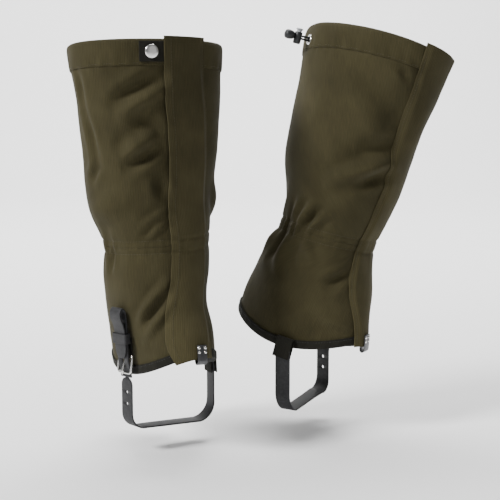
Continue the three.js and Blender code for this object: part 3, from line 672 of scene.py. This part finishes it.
def woven(name, dark, light, rib, turn=0.0, cross=None, sheen=0.03, depth=0.3, slub=0.5, falloff=None):
    """Cloth: ribs of yarn at a pitch in millimetres, slubs along them and a slow change of colour.

    Falloff scales the colour at the top and at the bottom of a tall piece: painted shade and painted light
    from top to bottom."""
    tree, principled = shader(name, 0.85, Sheen_Weight=sheen, Specular_IOR_Level=0.1)
    principled.inputs["Sheen Roughness"].default_value = 0.5
    place = node(tree, "ShaderNodeAttribute", attribute_name="weave").outputs["Vector"]
    ribs = bands(tree, mapped(tree, place, (STRIPE / rib, STRIPE / rib, 1), turn), "X")
    height = ribs
    if cross:
        picks = bands(tree, mapped(tree, place, (STRIPE / cross, STRIPE / cross, 1), turn), "Y")
        height = add_values(tree, ribs, picks, 0.6)
    yarns = noise(tree, mapped(tree, place, (1.3, 0.06, 1), turn), 1.0, 4.0)
    grain = noise(tree, place, 0.9, 4.0, 0.7)
    slow = noise(tree, place, 0.018, 2.0)
    colour = blend_colours(tree, slow, dark, light, 0.25, 0.75)
    colour = multiply_colours(tree, colour, blend_colours(tree, yarns, *greys(0.55, 1.25)), slub)
    colour = multiply_colours(tree, colour, blend_colours(tree, ribs, *greys(0.72, 1.12), 0, 1), 0.5)
    # Painted light and shade: the colour is scaled by the height up the piece, from the bottom's factor to
    # the top's.
    if falloff:
        rise = node(tree, "ShaderNodeSeparateXYZ")
        tree.links.new(place, rise.inputs[0])
        share = node(tree, "ShaderNodeMapRange", in_From_Min=40.0, in_From_Max=340.0)
        tree.links.new(rise.outputs["Y"], share.inputs["Value"])
        top, bottom = falloff
        painted_light_ramp = blend_colours(tree, share.outputs[0], *greys(bottom, top), 0, 1)
        colour = multiply_colours(tree, colour, painted_light_ramp, 1.0)
    tree.links.new(colour, principled.inputs["Base Color"])
    height = add_values(tree, height, grain, 0.8)
    bump = node(tree, "ShaderNodeBump", in_Strength=depth, in_Distance=0.0004)
    tree.links.new(height, bump.inputs["Height"])
    tree.links.new(bump.outputs[0], principled.inputs["Normal"])


def vary_roughness(tree, principled, value, low, high):
    rough = node(tree, "ShaderNodeMapRange")
    rough.inputs["To Min"].default_value = low
    rough.inputs["To Max"].default_value = high
    tree.links.new(value, rough.inputs[0])
    tree.links.new(rough.outputs[0], principled.inputs["Roughness"])


def moulded(name, colour, roughness, **sockets):
    """Moulded plastic or rubber with a fine spark-eroded grain and slight scuffs."""
    tree, principled = shader(name, roughness, **sockets)
    place = node(tree, "ShaderNodeTexCoord").outputs["Object"]
    scuffs = noise(tree, place, 260.0, 3.0)
    light = tuple(min(1.0, 1.5 * c + 0.01) for c in colour)
    tree.links.new(blend_colours(tree, scuffs, colour, light, 0.35, 0.8), principled.inputs["Base Color"])
    vary_roughness(tree, principled, scuffs, roughness - 0.08, roughness + 0.12)
    bump = node(tree, "ShaderNodeBump", in_Strength=0.05, in_Distance=0.0002)
    tree.links.new(noise(tree, place, 2600.0, 2.0), bump.inputs["Height"])
    tree.links.new(bump.outputs[0], principled.inputs["Normal"])


def metal(name, colour, roughness):
    """Plated steel with faint polishing marks."""
    tree, principled = shader(name, roughness, metallic=1.0)
    place = node(tree, "ShaderNodeTexCoord").outputs["Object"]
    marks = noise(tree, mapped(tree, place, (1, 1, 0.15)), 900.0, 3.0)
    low = tuple(0.8 * c for c in colour)
    tree.links.new(blend_colours(tree, marks, low, colour, 0.3, 0.7), principled.inputs["Base Color"])
    vary_roughness(tree, principled, marks, roughness - 0.06, roughness + 0.1)


woven("canvas", (0.034, 0.029, 0.013), (0.051, 0.044, 0.0205), 1.9, cross=1.1, slub=0.45)
# The flap's cloth is painted 1.4 times lighter at the bottom than at the top: painted light below, painted
# shade above.
woven(
    "flap_canvas", (0.035, 0.030, 0.0137), (0.052, 0.0445, 0.021), 1.9, cross=1.1, slub=0.35,
    falloff=(1.0, 1.4),
)
woven("lining", (0.020, 0.018, 0.011), (0.030, 0.027, 0.017), 1.2, cross=1.2)
woven("webbing", (0.011, 0.0105, 0.008), (0.019, 0.018, 0.014), 1.4, turn=math.pi / 4, cross=1.4)
woven("elastic", (0.016, 0.015, 0.011), (0.024, 0.022, 0.016), 1.5, turn=math.pi / 2)
woven("tape", (0.012, 0.012, 0.010), (0.022, 0.021, 0.017), 0.9, cross=0.9, depth=0.9, sheen=0.2)
woven("cord", (0.006, 0.006, 0.006), (0.014, 0.014, 0.014), 0.7, turn=0.9, cross=0.7, depth=0.8)
moulded("thread", (0.036, 0.031, 0.014), 0.75)
moulded("dark_thread", (0.010, 0.010, 0.009), 0.7)
moulded("rubber", (0.014, 0.014, 0.015), 0.6, Specular_IOR_Level=0.3)
moulded("plastic", (0.011, 0.012, 0.013), 0.38, Specular_IOR_Level=0.45)
moulded("plunger", (0.30, 0.31, 0.32), 0.4)
metal("steel", (0.80, 0.79, 0.76), 0.2)
metal("dark_steel", (0.12, 0.12, 0.125), 0.3)


# ---------------------------------------------------------------- putting pieces on bodies
def stands_for(leg, obj, slot, *nodes):
    """Hides the CAD nodes that a piece is drawn in place of; its material slot is not used."""
    if nodes:
        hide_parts(*(f"{leg.name}_{key}" for key in nodes))


def on(leg, obj, body, slot, *nodes):
    """Rides a piece on one body of its gaiter."""
    stands_for(leg, obj, slot, *nodes)
    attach(obj, f"{leg.name}_{body}")


# A point on each flap's sewn edge, and the way across it: the plane across that way holds the seam.
# BEND_FROM and BEND_TO are two distances from that plane, in metres, at which across_flap places its start
# and end points.
FLAP_SEAM = {
    "right": ((0.0560, -0.030, 0.18), (-0.994, -0.104, -0.010)),
    "left": ((0.2648, 0.0204, 0.1872), (0.653, 0.746, -0.129)),
}
BEND_FROM, BEND_TO = 0.003, 0.019


def across_flap(leg, obj, slot, *nodes):
    """Hides the CAD nodes that a piece of the flap is drawn in place of and bakes its place into its mesh.
    """
    stands_for(leg, obj, slot, *nodes)
    seam, toward = (Vector(values) for values in FLAP_SEAM[leg.name])
    toward = toward.normalized()
    start, end = seam + toward * BEND_FROM, seam + toward * BEND_TO
    f"{leg.name}_shell"
    f"{leg.name}_flap"
    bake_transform(obj)
    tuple(start)
    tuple(end)


# ---------------------------------------------------------------- sewn pieces
def at_arc(value):
    return lambda v: np.full_like(v, float(value))


def back(leg, offset):
    return lambda v: leg.girth(v) / 2 + offset


def inner_end(leg):
    return lambda v: leg.girth(v) + INNER_EDGE


def at_hem(leg, extra):
    return lambda s: leg.hem(s) + extra


def at_top(leg, extra):
    return lambda s: leg.top(s) + extra


def at_ankle(leg, extra):
    return lambda s: np.full_like(s, leg.ankle + extra)


def panels(leg):
    """The two calf panels, seamed at the back, and the foot panel below the ankle."""
    name = leg.name
    start, middle, end = at_arc(OUTER_EDGE), back(leg, 0), inner_end(leg)
    hem, ankle, seam = at_hem(leg, 2), at_ankle(leg, 0), at_top(leg, -HEM_HEIGHT + 0.6)
    outer, inner, lower = (
        slab(key, leg, arcs, heights, counts, (0, -CLOTH), "canvas")
        for key, arcs, heights, counts in (
            ("calf_outer", (start, middle), (ankle, seam), (130, 120)),
            ("calf_inner", (middle, end), (ankle, seam), (130, 120)),
            ("foot", (start, end), (hem, ankle), (260, 80)),
        )
    )
    on(leg, outer, "shell", "canvas", "upper_outer_panel")
    on(leg, inner, "shell", "canvas", "upper_inner_panel")
    on(leg, lower, "shell", "canvas", "lower_panel")


def mouth_hem(leg):
    """The folded channel round the mouth, rounded over its top edge and drawn in by its stitching."""
    name = leg.name
    profile = [
        (0.6, -HEM_HEIGHT), (1.0, -28.5), (1.2, -25), (1.35, -19), (1.2, -12), (0.8, -6), (0.2, -3),
        (-0.8, -1), (-2.2, -0.1), (-3.8, -0.1), (-5.3, -1), (-6.3, -3), (-6.9, -8), (-7, -16),
        (-6.6, -23), (-5.2, -28),
        (-4.4, -HEM_HEIGHT), (-3.6, -HEM_HEIGHT), (-4.4, -27.6), (-5.7, -22), (-6, -16), (-5.9, -8),
        (-5.2, -3.6), (-4, -1.7), (-2.8, -1.4), (-1.4, -2.2), (-0.6, -4.2), (-0.1, -8), (0.2, -14),
        (0.2, -22), (-0.1, -27), (-0.1, -HEM_HEIGHT),
    ]
    phase = leg.waves[11]

    def ripple(s, z):
        pucker = np.sin(s / 2.6 + 1.3 * np.sin(s / 19 + phase)) * np.exp(-(((z + 26) / 6) ** 2))
        slack = np.sin(s / 7.5 + phase + np.sin(s / 29)) * np.exp(-(((z + 12) / 12) ** 2))
        return 0.45 * pucker + 0.55 * slack

    hem = rail("mouth_hem", leg, profile, at_top(leg, 0), 300, "canvas", ripple)
    hole = rod(eyelet_frame(leg), (0, -2.8, 0), (0, 6, 0), 4.6)
    carve(hem, [hole])
    on(leg, hem, "shell", "canvas", "top_hem")


def bottom_binding(leg):
    name = leg.name
    profile = [
        (1.5, BINDING), (1.7, BINDING - 1), (1.75, 6), (1.7, 2), (1.2, 0.5), (0.2, -0.1), (-1.4, -0.1),
        (-2.4, 0.5), (-2.9, 2), (-2.9, 6), (-2.8, BINDING), (-2.1, BINDING), (-2.1, 4), (-1.7, 2.2),
        (-0.6, 1.6), (0.4, 2.2), (0.8, 4), (0.8, BINDING),
    ]

    def ripple(s, z):
        return 0.3 * np.sin(s / 2.1 + np.sin(s / 11)) * np.exp(-(((z - 9) / 5) ** 2))

    band = rail("bottom_binding", leg, profile, at_hem(leg, 0), 300, "webbing", ripple)
    on(leg, band, "shell", "webbing", "hem_binding")


def inside_pieces(leg):
    name = leg.name
    elastic = slab(
        "elastic_band", leg, (at_arc(18), lambda v: leg.girth(v) - FLAP_HALF),
        (at_ankle(leg, -ELASTIC / 2), at_ankle(leg, ELASTIC / 2)), (200, 8), (-1.9, -3.3), "elastic",
    )
    on(leg, elastic, "shell", "elastic", "ankle_elastic")
    strip = slab(
        "underlap_strip", leg, (at_arc(-22), at_arc(8)),
        (at_hem(leg, BINDING + 4), at_top(leg, -HEM_HEIGHT)), (14, 160), (-2.5, -3.5), "lining",
    )
    on(leg, strip, "shell", "lining", "underlap")
    for kind, skins in (("loop", (1.6, 0.6)), ("hook", (3.3, 2.0))):
        tape = slab(
            f"{kind}_strip", leg, (at_arc(-4), at_arc(18)),
            (at_hem(leg, BINDING + 4), at_top(leg, -HEM_HEIGHT - 30)), (12, 150), skins, "tape",
        )
        if kind == "loop":
            on(leg, tape, "shell", "tape", "loop_tape")
        else:
            across_flap(leg, tape, "tape", "hook_tape")


def cut_back(leg, v, s):
    return 15 * np.clip(1 - (v - leg.hem(s) + 3) / 36, 0, None) ** 2


def flap(leg):
    """The storm flap: sewn down inside, folded over at its free edge, with its lower corner cut."""
    name = leg.name

    def free(v):
        return FLAP_HALF - cut_back(leg, v, np.full_like(v, float(FLAP_HALF)))

    def edge_fold(v, s):
        fold = smoothstep((s - free(v) + 10) / 1.5)
        sewn = np.exp(-(((s + 23) / 2.2) ** 2))
        curl = 1.1 * smoothstep((s - 14) / 14) * np.sin(v / 31 + 1.0) * smoothstep((v - 40) / 60)
        return FLAP_LIFT + CLOTH + 0.35 * fold - 0.5 * sewn + curl + lean_in(v, s)

    def lean_in(v, s):
        """The sewn edge comes down onto the panel, and less far where it crosses the thicker hems."""
        off_hems = smoothstep((v - leg.hem(s) - BINDING) / 10)
        off_hems = off_hems * smoothstep((leg.top(s) - HEM_HEIGHT - v) / 10)
        return -(1 - smoothstep((s + FLAP_HALF) / 9)) * (1.7 + 1.6 * off_hems)

    def under(v, s):
        lifted = FLAP_LIFT + 0.2 + 2 * smoothstep((s - 14) / 14)
        return np.minimum(edge_fold(v, s) - CLOTH - 0.25, lifted)

    cover = slab(
        "storm_flap", leg, (at_arc(-FLAP_HALF), free), (at_hem(leg, -3), at_top(leg, 3)),
        (44, 230), (edge_fold, under), "flap_canvas", lip=0.6,
    )
    across_flap(leg, cover, "flap_canvas", "flap")
    share = np.linspace(0, 1, 300)
    low, high = (edge(np.full(300, 20.0)) for edge in (leg.hem, leg.top))
    v = low + 2 + share * (high - low - 2)
    for key, s in {"free": free(v) - 8.5, "sewn": np.full_like(v, -24.6)}.items():
        level = edge_fold(v, s) + 0.02
        row = stitches(f"flap_{key}_stitches", leg, s, v, level, "thread", radius=0.22)
        across_flap(leg, row, "flap_canvas")


def sewing(leg):
    """The visible rows of stitches on the shell."""
    girth = float(leg.girth(leg.ankle))
    rows = []
    for key, offset in (("ankle_low", -ELASTIC / 2), ("ankle_high", ELASTIC / 2)):
        s = np.linspace(30, girth - 30, 400)
        rows.append((key, s, np.full_like(s, leg.ankle + offset), 0.05))
    top_girth = float(leg.girth(leg.level - HEM_HEIGHT))
    s = np.linspace(OUTER_EDGE + 3, top_girth + INNER_EDGE - 3, 400)
    rows.append(("mouth_seam", s, leg.top(s) - HEM_HEIGHT + 2.6, 1.05))
    v = np.linspace(leg.ankle + 4, leg.level - HEM_HEIGHT - 4, 300)
    for key, offset in (("back_outer", -3), ("back_inner", 3)):
        rows.append((key, leg.girth(v) / 2 + offset, v, 0.05))
    for key, s, v, n in rows:
        row = stitches(f"{key}_stitches", leg, s, v, n, "thread", radius=0.24)
        on(leg, row, "shell", "canvas")
    hem_girth = float(leg.girth(5))
    s = np.linspace(OUTER_EDGE + 3, hem_girth + INNER_EDGE - 3, 400)
    v = leg.hem(s) + BINDING - 2.2
    row = stitches("binding_stitches", leg, s, v, 1.72, "dark_thread", radius=0.26)
    on(leg, row, "shell", "webbing")


# ---------------------------------------------------------------- press stud
def press_stud(leg):
    name = leg.name
    at = snap_frame(leg)
    tab = slab(
        "stud_tab", leg, (at_arc(18), at_arc(56)), (at_top(leg, -26), at_top(leg, -3)),
        (36, 24), (3.4, 2.3), "webbing",
    )
    stands_for(leg, tab, "webbing", "snap_tab")
    level = float(leg.top(30)) - SNAP_DROP
    start, end = (Vector(leg.at(leg.local(level, s, 3)[0])) for s in (25, 33))
    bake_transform(tab)
    cap = lathe("stud_cap", at, [
        (0, 6.4), (2, 6.35), (4.2, 6.1), (6, 5.7), (7.2, 5.2), (7.8, 4.7), (8, 4.2), (7.8, 4), (7, 3.95),
        (1.6, 3.95), (1.6, 2.35), (0, 2.35),
    ], "steel", 48)
    on(leg, cap, "snap_tab", "steel", "snap_cap")
    socket = lathe("stud_socket", at, [
        (4.1, 1.3), (4.3, 1.2), (5.2, 1.2), (5.4, 1.3), (5.4, 1.6), (5.2, 1.7), (4.3, 1.7), (4.1, 1.6),
    ], "steel", 36)
    on(leg, socket, "snap_tab", "steel", "snap_socket")
    stud = lathe("stud_post", at, [
        (0, 0.4), (4.8, 0.4), (5, 0.5), (5, 0.8), (4.8, 0.9), (2.9, 0.9), (2.5, 1.1), (2.7, 1.6),
        (2.4, 1.8), (0, 1.8),
    ], "steel", 36)
    on(leg, stud, "shell", "steel", "snap_stud")


# ---------------------------------------------------------------- lace hook
def lace_hook(leg):
    at = hook_frame(leg)
    face = FLAP_LIFT + CLOTH + 1.2
    path = spline([(0, face - y, z) for y, z in (
        (0, 7.5), (0, 0), (0, -8), (0.6, -12.5), (3.2, -14.6), (5.8, -12.6), (6.2, -8.5),
    )], 48)
    plate = sweep("hook_plate", path, (1, 0, 0), rounded(13, 1, 0.3), "dark_steel", at)
    on(leg, plate, "flap", "dark_steel", "lace_hook")
    profile = [
        (0, face + 1.7), (0.9, face + 1.6), (1.6, face + 1.2), (1.9, face + 0.7), (1.9, face + 0.5),
        (1, face + 0.5), (1, 2.2), (0, 2.2),
    ]
    for k, (x, z) in enumerate((x, z) for x in (-4.2, 4.2) for z in (-0.8, 4.2)):
        head = lathe(f"hook_rivet_{k}", at.shifted((x, 0, z)), profile, "steel", 24)
        on(leg, head, "flap", "steel", *(["hook_rivets"] if k == 0 else []))


# ---------------------------------------------------------------- drawcord, lock and end
def drawcord(leg):
    """The cord in its channel, out through the eyelet, through the lock and back in a loop."""
    at = eyelet_frame(leg)
    gap = 1.6
    girth = float(leg.girth(leg.level))

    def channel(start, end):
        s = np.linspace(start, end, 90)
        v = leg.top(s) - CORD_DROP
        return leg.local(v, s, leg.folds(v, s) - CORD_DEPTH + 0.4 * np.sin(s / 9))[0]

    def out(sign):
        x = leg.side * sign
        return np.array([
            (5.2 * x, -CORD_DEPTH, 0.6 * gap * sign), (2.3 * x, -2.1, gap * sign),
            (1.1 * x, 1.2, gap * sign), (0.6 * x, 6, gap * sign), (0, 16, gap * sign),
            (0, 24.5, gap * sign), (0, 26.9, 0.7 * gap * sign),
        ]) @ at.axes + at.origin

    first = channel(girth + INNER_EDGE - 6, girth + EYELET_ARC + 13)
    second = channel(girth + EYELET_ARC - 13, OUTER_EDGE + 6)
    turn = np.array([(0, 27.6, 0)]) @ at.axes + at.origin
    path = spline(np.vstack([first, out(1), turn, out(-1)[::-1], second]), 420)
    on(leg, tube("cord", path, 1.2, "cord", leg), "shell", "cord", "drawcord")


def eyelet(leg):
    ring = lathe("eyelet_ring", eyelet_frame(leg), [
        (4, 1.3), (4.5, 1.75), (5.3, 1.8), (6.1, 1.4), (6.6, 0.7), (6.5, 0.45), (4.9, 0.5), (4.9, -0.9),
        (4, -0.9),
    ], "steel", 40)
    on(leg, ring, "shell", "steel", "eyelet")


def cord_lock(leg):
    """The lock's barrel, its sprung plunger and the coil between them."""
    lock = eyelet_frame(leg).shifted((0, 16, 0))
    barrel = lathe("lock_barrel", lock, [
        (0, -9), (3.4, -9), (4.2, -8.6), (4.7, -7.6), (4.7, 4.8), (4.5, 5.4), (4.2, 5.6), (3.4, 5.6),
        (3.4, -7.8), (0, -7.8),
    ], "plastic", 40, upright=True)
    carve(barrel, [slot_cutter(lock, -3.4, 3.4)])
    on(leg, barrel, "cord_lock", "plastic", "cord_lock_barrel")
    plunger = lathe("lock_plunger_head", lock, [
        (0, -4.4), (3.1, -4.4), (3.1, 8.2), (4.1, 8.3), (4.4, 8.7), (4.3, 9.5), (3.6, 10.2), (2, 10.4),
        (0, 10.4),
    ], "plunger", 40, upright=True)
    carve(plunger, [slot_cutter(lock, -3.4, 5.6)])
    on(leg, plunger, "lock_plunger", "plunger", "cord_lock_plunger")
    turn = np.linspace(0, 4 * math.pi, 80)
    coil = np.stack([2.2 * np.cos(turn), 2.2 * np.sin(turn), -7.2 + 2.3 * turn / (4 * math.pi)], -1)
    spring = sweep("lock_spring", coil, (0, 0, 1), circle(0.22, 8), "steel", lock)
    stands_for(leg, spring, "steel", "cord_lock_spring")
    low, high = (Vector(lock.at((0, 0, z))) for z in (-6.9, -5.2))
    f"{leg.name}_cord_lock"
    f"{leg.name}_lock_plunger"
    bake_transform(spring)


def cord_end(leg):
    """The moulded end over the cord's loop."""
    end = lathe("cord_toggle", eyelet_frame(leg).shifted((0, 27.5, 0)), [
        (0, 6.2), (2, 6.1), (3.6, 5.7), (5, 4.8), (5.7, 3.2), (5.8, 0.8), (5.5, -2), (5, -4.4),
        (4.4, -5.3), (3.6, -5.4), (3.6, 2.4), (0, 2.4),
    ], "plastic", 40)
    on(leg, end, "shell", "plastic", "cord_end")


def slot_cutter(at, low, high):
    path = np.array([(0, -10, (low + high) / 2), (0, 10, (low + high) / 2)])
    return sweep("cutter", path, (1, 0, 0), rounded(3.4, high - low, 0.4), "plastic", at)


def tube(name, path, radius, material, at, count=12):
    """A round cord along a path, whose section turns as little as it can."""
    along = unit(np.gradient(path, axis=0))
    side = np.cross(along[0], (0, 0, 1.0))
    sides = []
    for direction in along:
        side = side - direction * (side @ direction)
        side /= np.linalg.norm(side)
        sides.append(side)
    return sweep(name, path, np.array(sides), circle(radius, count), material, at)


# ---------------------------------------------------------------- buckle, keeper and strap
BAR = (4, 0)
FOOT = (8.1, -20)
STRAP_SECTION = rounded(STRAP_WIDTH, 2, 0.7, 4)


def buckle(leg):
    at = buckle_frame(leg)
    length = math.hypot(FOOT[0] - BAR[0], FOOT[1])
    tilt = math.atan2(FOOT[0] - BAR[0], -FOOT[1])
    loop = rounded(24.8, length, 3.2, 8)
    y = (BAR[0] + FOOT[0]) / 2 + loop[:, 1] * math.sin(tilt)
    wire_path = np.stack([loop[:, 0], y, FOOT[1] / 2 - loop[:, 1] * math.cos(tilt)], -1)
    plane = (0, math.cos(tilt), math.sin(tilt))
    wire = sweep("buckle_wire", even(wire_path, 120), plane, circle(1.2), "steel", at, closed=True)
    on(leg, wire, "shell", "steel", "buckle_frame")

    bends = [-math.pi * k / 12 for k in range(13)]
    fold = [(0, BAR[0] + 2 * math.cos(bend), 2 * math.sin(bend)) for bend in bends]
    tab_path = even(np.array([(0, BAR[0] + 2, 10), *fold, (0, BAR[0] - 2, 22)]), 60, closed=False)
    tab = sweep("buckle_loop", tab_path, (1, 0, 0), rounded(STRAP_WIDTH, 0.9, 0.35), "webbing", at)
    carve(tab, [block(at, (4.2, 12, 7.4), (0, BAR[0], 0))])
    on(leg, tab, "shell", "webbing", "buckle_tab")

    turn = np.linspace(0, 2 * math.pi, 41)[:-1]
    eye_path = np.stack([0 * turn, BAR[0] + 2.1 * np.cos(turn), 2.1 * np.sin(turn)], -1)
    eye = sweep("prong_eye", eye_path, (1, 0, 0), rounded(3.2, 1, 0.3), "steel", at, closed=True)
    on(leg, eye, "prong", "steel", "buckle_prong")
    pin_path = spline([(0, y, z) for y, z in (
        (5.9, -1.3), (6, -4.6), (8.4, -11), (10.5, -17.5), (10.9, -21.8),
    )], 30)
    taper = np.concatenate([np.ones(24), np.linspace(1, 0.55, 6)])
    section = rounded(2.2, 1.4, 0.6)
    pin = sweep("prong_pin", pin_path, (1, 0, 0), section, "steel", at, widths=taper)
    on(leg, pin, "prong", "steel")


def block(at, size, centre):
    x, y, z = centre
    path = np.array([(x, y, z - size[2] / 2), (x, y, z + size[2] / 2)])
    return sweep("cutter", path, (1, 0, 0), rounded(size[0], size[1], 0.2), "plastic", at)


def strap_tail(leg):
    """The strap's upper end, threaded through the buckle, up the gaiter and back down in a loop."""
    at = buckle_frame(leg)
    path = spline([(0, y, z) for y, z in (
        (5, -25.4), (5.4, -20), (5.9, -14), (7.7, -7), (8, 0), (7.9, 10), (7.8, 30), (7.8, 46), (8.8, 54),
        (12.2, 57.6), (15.6, 54), (15.4, 46), (12.4, 38), (10.8, 31), (10.5, 18), (10.5, 6), (10.5, -2),
    )], 150)
    last = np.arange(150) - 136
    widths = np.where(last > 0, np.sqrt(np.clip(1 - (last / 15.0) ** 2, 0.04, 1)), 1.0)
    tail = sweep("strap_end", path, (1, 0, 0), STRAP_SECTION, "rubber", at, widths=widths)
    carve(tail, [block(at, (4.2, 6.7, 15), (0, 5.85, -6.5)), rod(at, (0, 4.5, 42), (0, 10.5, 42), 2.2)])
    on(leg, tail, "shell", "rubber", "strap_tail")
    loop = rounded(STRAP_WIDTH + 4.6, 7.6, 1.8, 6)
    ring = even(np.stack([loop[:, 0], loop[:, 1] + 9.15, np.full(len(loop), 21.5)], -1), 90)
    section = rounded(12, 1.3, 0.45)
    keeper = sweep("keeper_loop", ring, (0, 0, 1), section, "rubber", at, closed=True)
    on(leg, keeper, "keeper", "rubber", "keeper")


def instep_strap(leg):
    """The holed strap that hangs under the boot, swinging on the line between its two ends."""
    buckle_at, anchor_at = buckle_frame(leg), anchor_frame(leg)
    outer = np.array((0, 5, -36.0)) @ buckle_at.axes + buckle_at.origin
    inner = np.array((0, 4.3, -16.0)) @ anchor_at.axes + anchor_at.origin
    down = np.array([math.sin(leg.lean), 0, -math.cos(leg.lean)])
    over = unit(inner - outer)
    outer_drop = 82 - 36 + BUCKLE_LEVEL
    inner_drop = outer_drop + (outer - inner) @ down
    corner = 20

    def bend(low, sign):
        turns = [k * math.pi / 16 for k in range(9)]
        return [
            low - down * corner * (1 - math.sin(turn)) + over * sign * corner * (1 - math.cos(turn))
            for turn in turns
        ]

    fall = -buckle_at.axes[2]
    path = np.array([
        outer - fall * 10, outer, outer + down * 8, *bend(outer + down * outer_drop, 1),
        *bend(inner + down * inner_drop, -1)[::-1], inner + down * 12, inner, inner - fall * 10,
    ])
    path = even(path, 190, closed=False)
    start, end = buckle_at.axes[0], -anchor_at.axes[0]
    middle = -np.cross(down, over)
    if middle @ start < 0:
        middle = -middle
    if end @ middle < 0:
        end = -end
    share = np.linspace(0, 1, len(path))[:, None]
    near = np.where(share < 0.5, start, end)
    weight = np.clip(5 * np.minimum(share, 1 - share) - 1, 0, 1)
    sides = near * (1 - weight) + middle * weight
    run = np.linspace(0, 1, len(path)) * np.linalg.norm(np.diff(path, axis=0), axis=1).sum()
    left = np.minimum(run, run[-1] - run)
    widths = np.sqrt(np.clip(1 - (np.clip(10 - left, 0, 10) / 10.2) ** 2, 0.03, 1))
    strap = sweep("strap", path, sides, STRAP_SECTION, "rubber", leg, widths=widths)
    out = unit(np.cross(start, down))
    spots = [outer + down * depth for depth in (8, 22)]
    carve(strap, [
        sweep("cutter", (spot - out * 4, spot + out * 4), (0, 0, 1), circle(2.2, 20), "plastic", leg)
        for spot in spots
    ])
    on(leg, strap, "instep_strap", "rubber", "instep_strap")

    fold = [(0, y, z) for y, z in (
        (0.9, -24), (0.9, -8), (0.9, -1), (2, 0.6), (4.3, 1.2), (6.6, 0.6), (7.7, -1), (7.7, -8),
        (7.7, -24),
    )]
    section = rounded(STRAP_WIDTH + 2, 0.9, 0.35)
    loop = sweep("strap_loop", spline(fold, 60), (1, 0, 0), section, "webbing", anchor_at)
    on(leg, loop, "shell", "webbing", "strap_anchor")


# ---------------------------------------------------------------- stage
def add_stage():
    floor_level = -0.115
    depth, wall = 3.0, 4.0
    profile = [(-6.0, floor_level), (depth, floor_level)]
    turns = [k * math.pi / 24 for k in range(1, 13)]
    profile += [(depth + math.sin(turn), floor_level + 1 - math.cos(turn)) for turn in turns]
    profile.append((depth + 1, wall))
    points = [(x, y, z) for y, z in profile for x in (-8.0, 8.0)]
    tree, principled = shader("stage", 0.9)
    place = node(tree, "ShaderNodeTexCoord").outputs["Object"]
    tint = blend_colours(tree, noise(tree, place, 0.7, 1.0), (0.88, 0.88, 0.88), (0.9, 0.9, 0.9))
    tree.links.new(tint, principled.inputs["Base Color"])
    floor = new_object("floor", points, grid_faces(len(profile), 2), "stage")
    world = bpy.data.worlds.new("world")
    world.use_nodes = True
    background = world.node_tree.nodes["Background"]
    background.inputs[0].default_value = (1, 1, 1, 1)
    background.inputs[1].default_value = 0.25
    bpy.context.scene.world = world
    lights = [
        ("key", (-2.2, -1.4, 2.3), (0.1, 0, 0.15), 0.8, 170),
        ("fill", (2.0, -2.2, 0.9), (0.1, 0, 0.15), 2.4, 6),
        ("backdrop_light", (0, 1.4, 3.2), (0, 4, 0.6), 2.5, 320),
    ]
    for name, place, target, size, power in lights:
        data = bpy.data.lights.new(name, "AREA")
        data.energy = power
        data.size = size
        light = bpy.data.objects.new(name, data)
        light.location = place
        light.rotation_euler = (Vector(target) - Vector(place)).to_track_quat("-Z", "Y").to_euler()
        bpy.context.scene.collection.objects.link(light)


SUB_PARTS = [
    panels, mouth_hem, bottom_binding, inside_pieces, flap, sewing, press_stud, lace_hook,
    drawcord, eyelet, cord_lock, cord_end, buckle, strap_tail, instep_strap,
]

for each in LEGS:
    for make in SUB_PARTS:
        make(each)
add_stage()
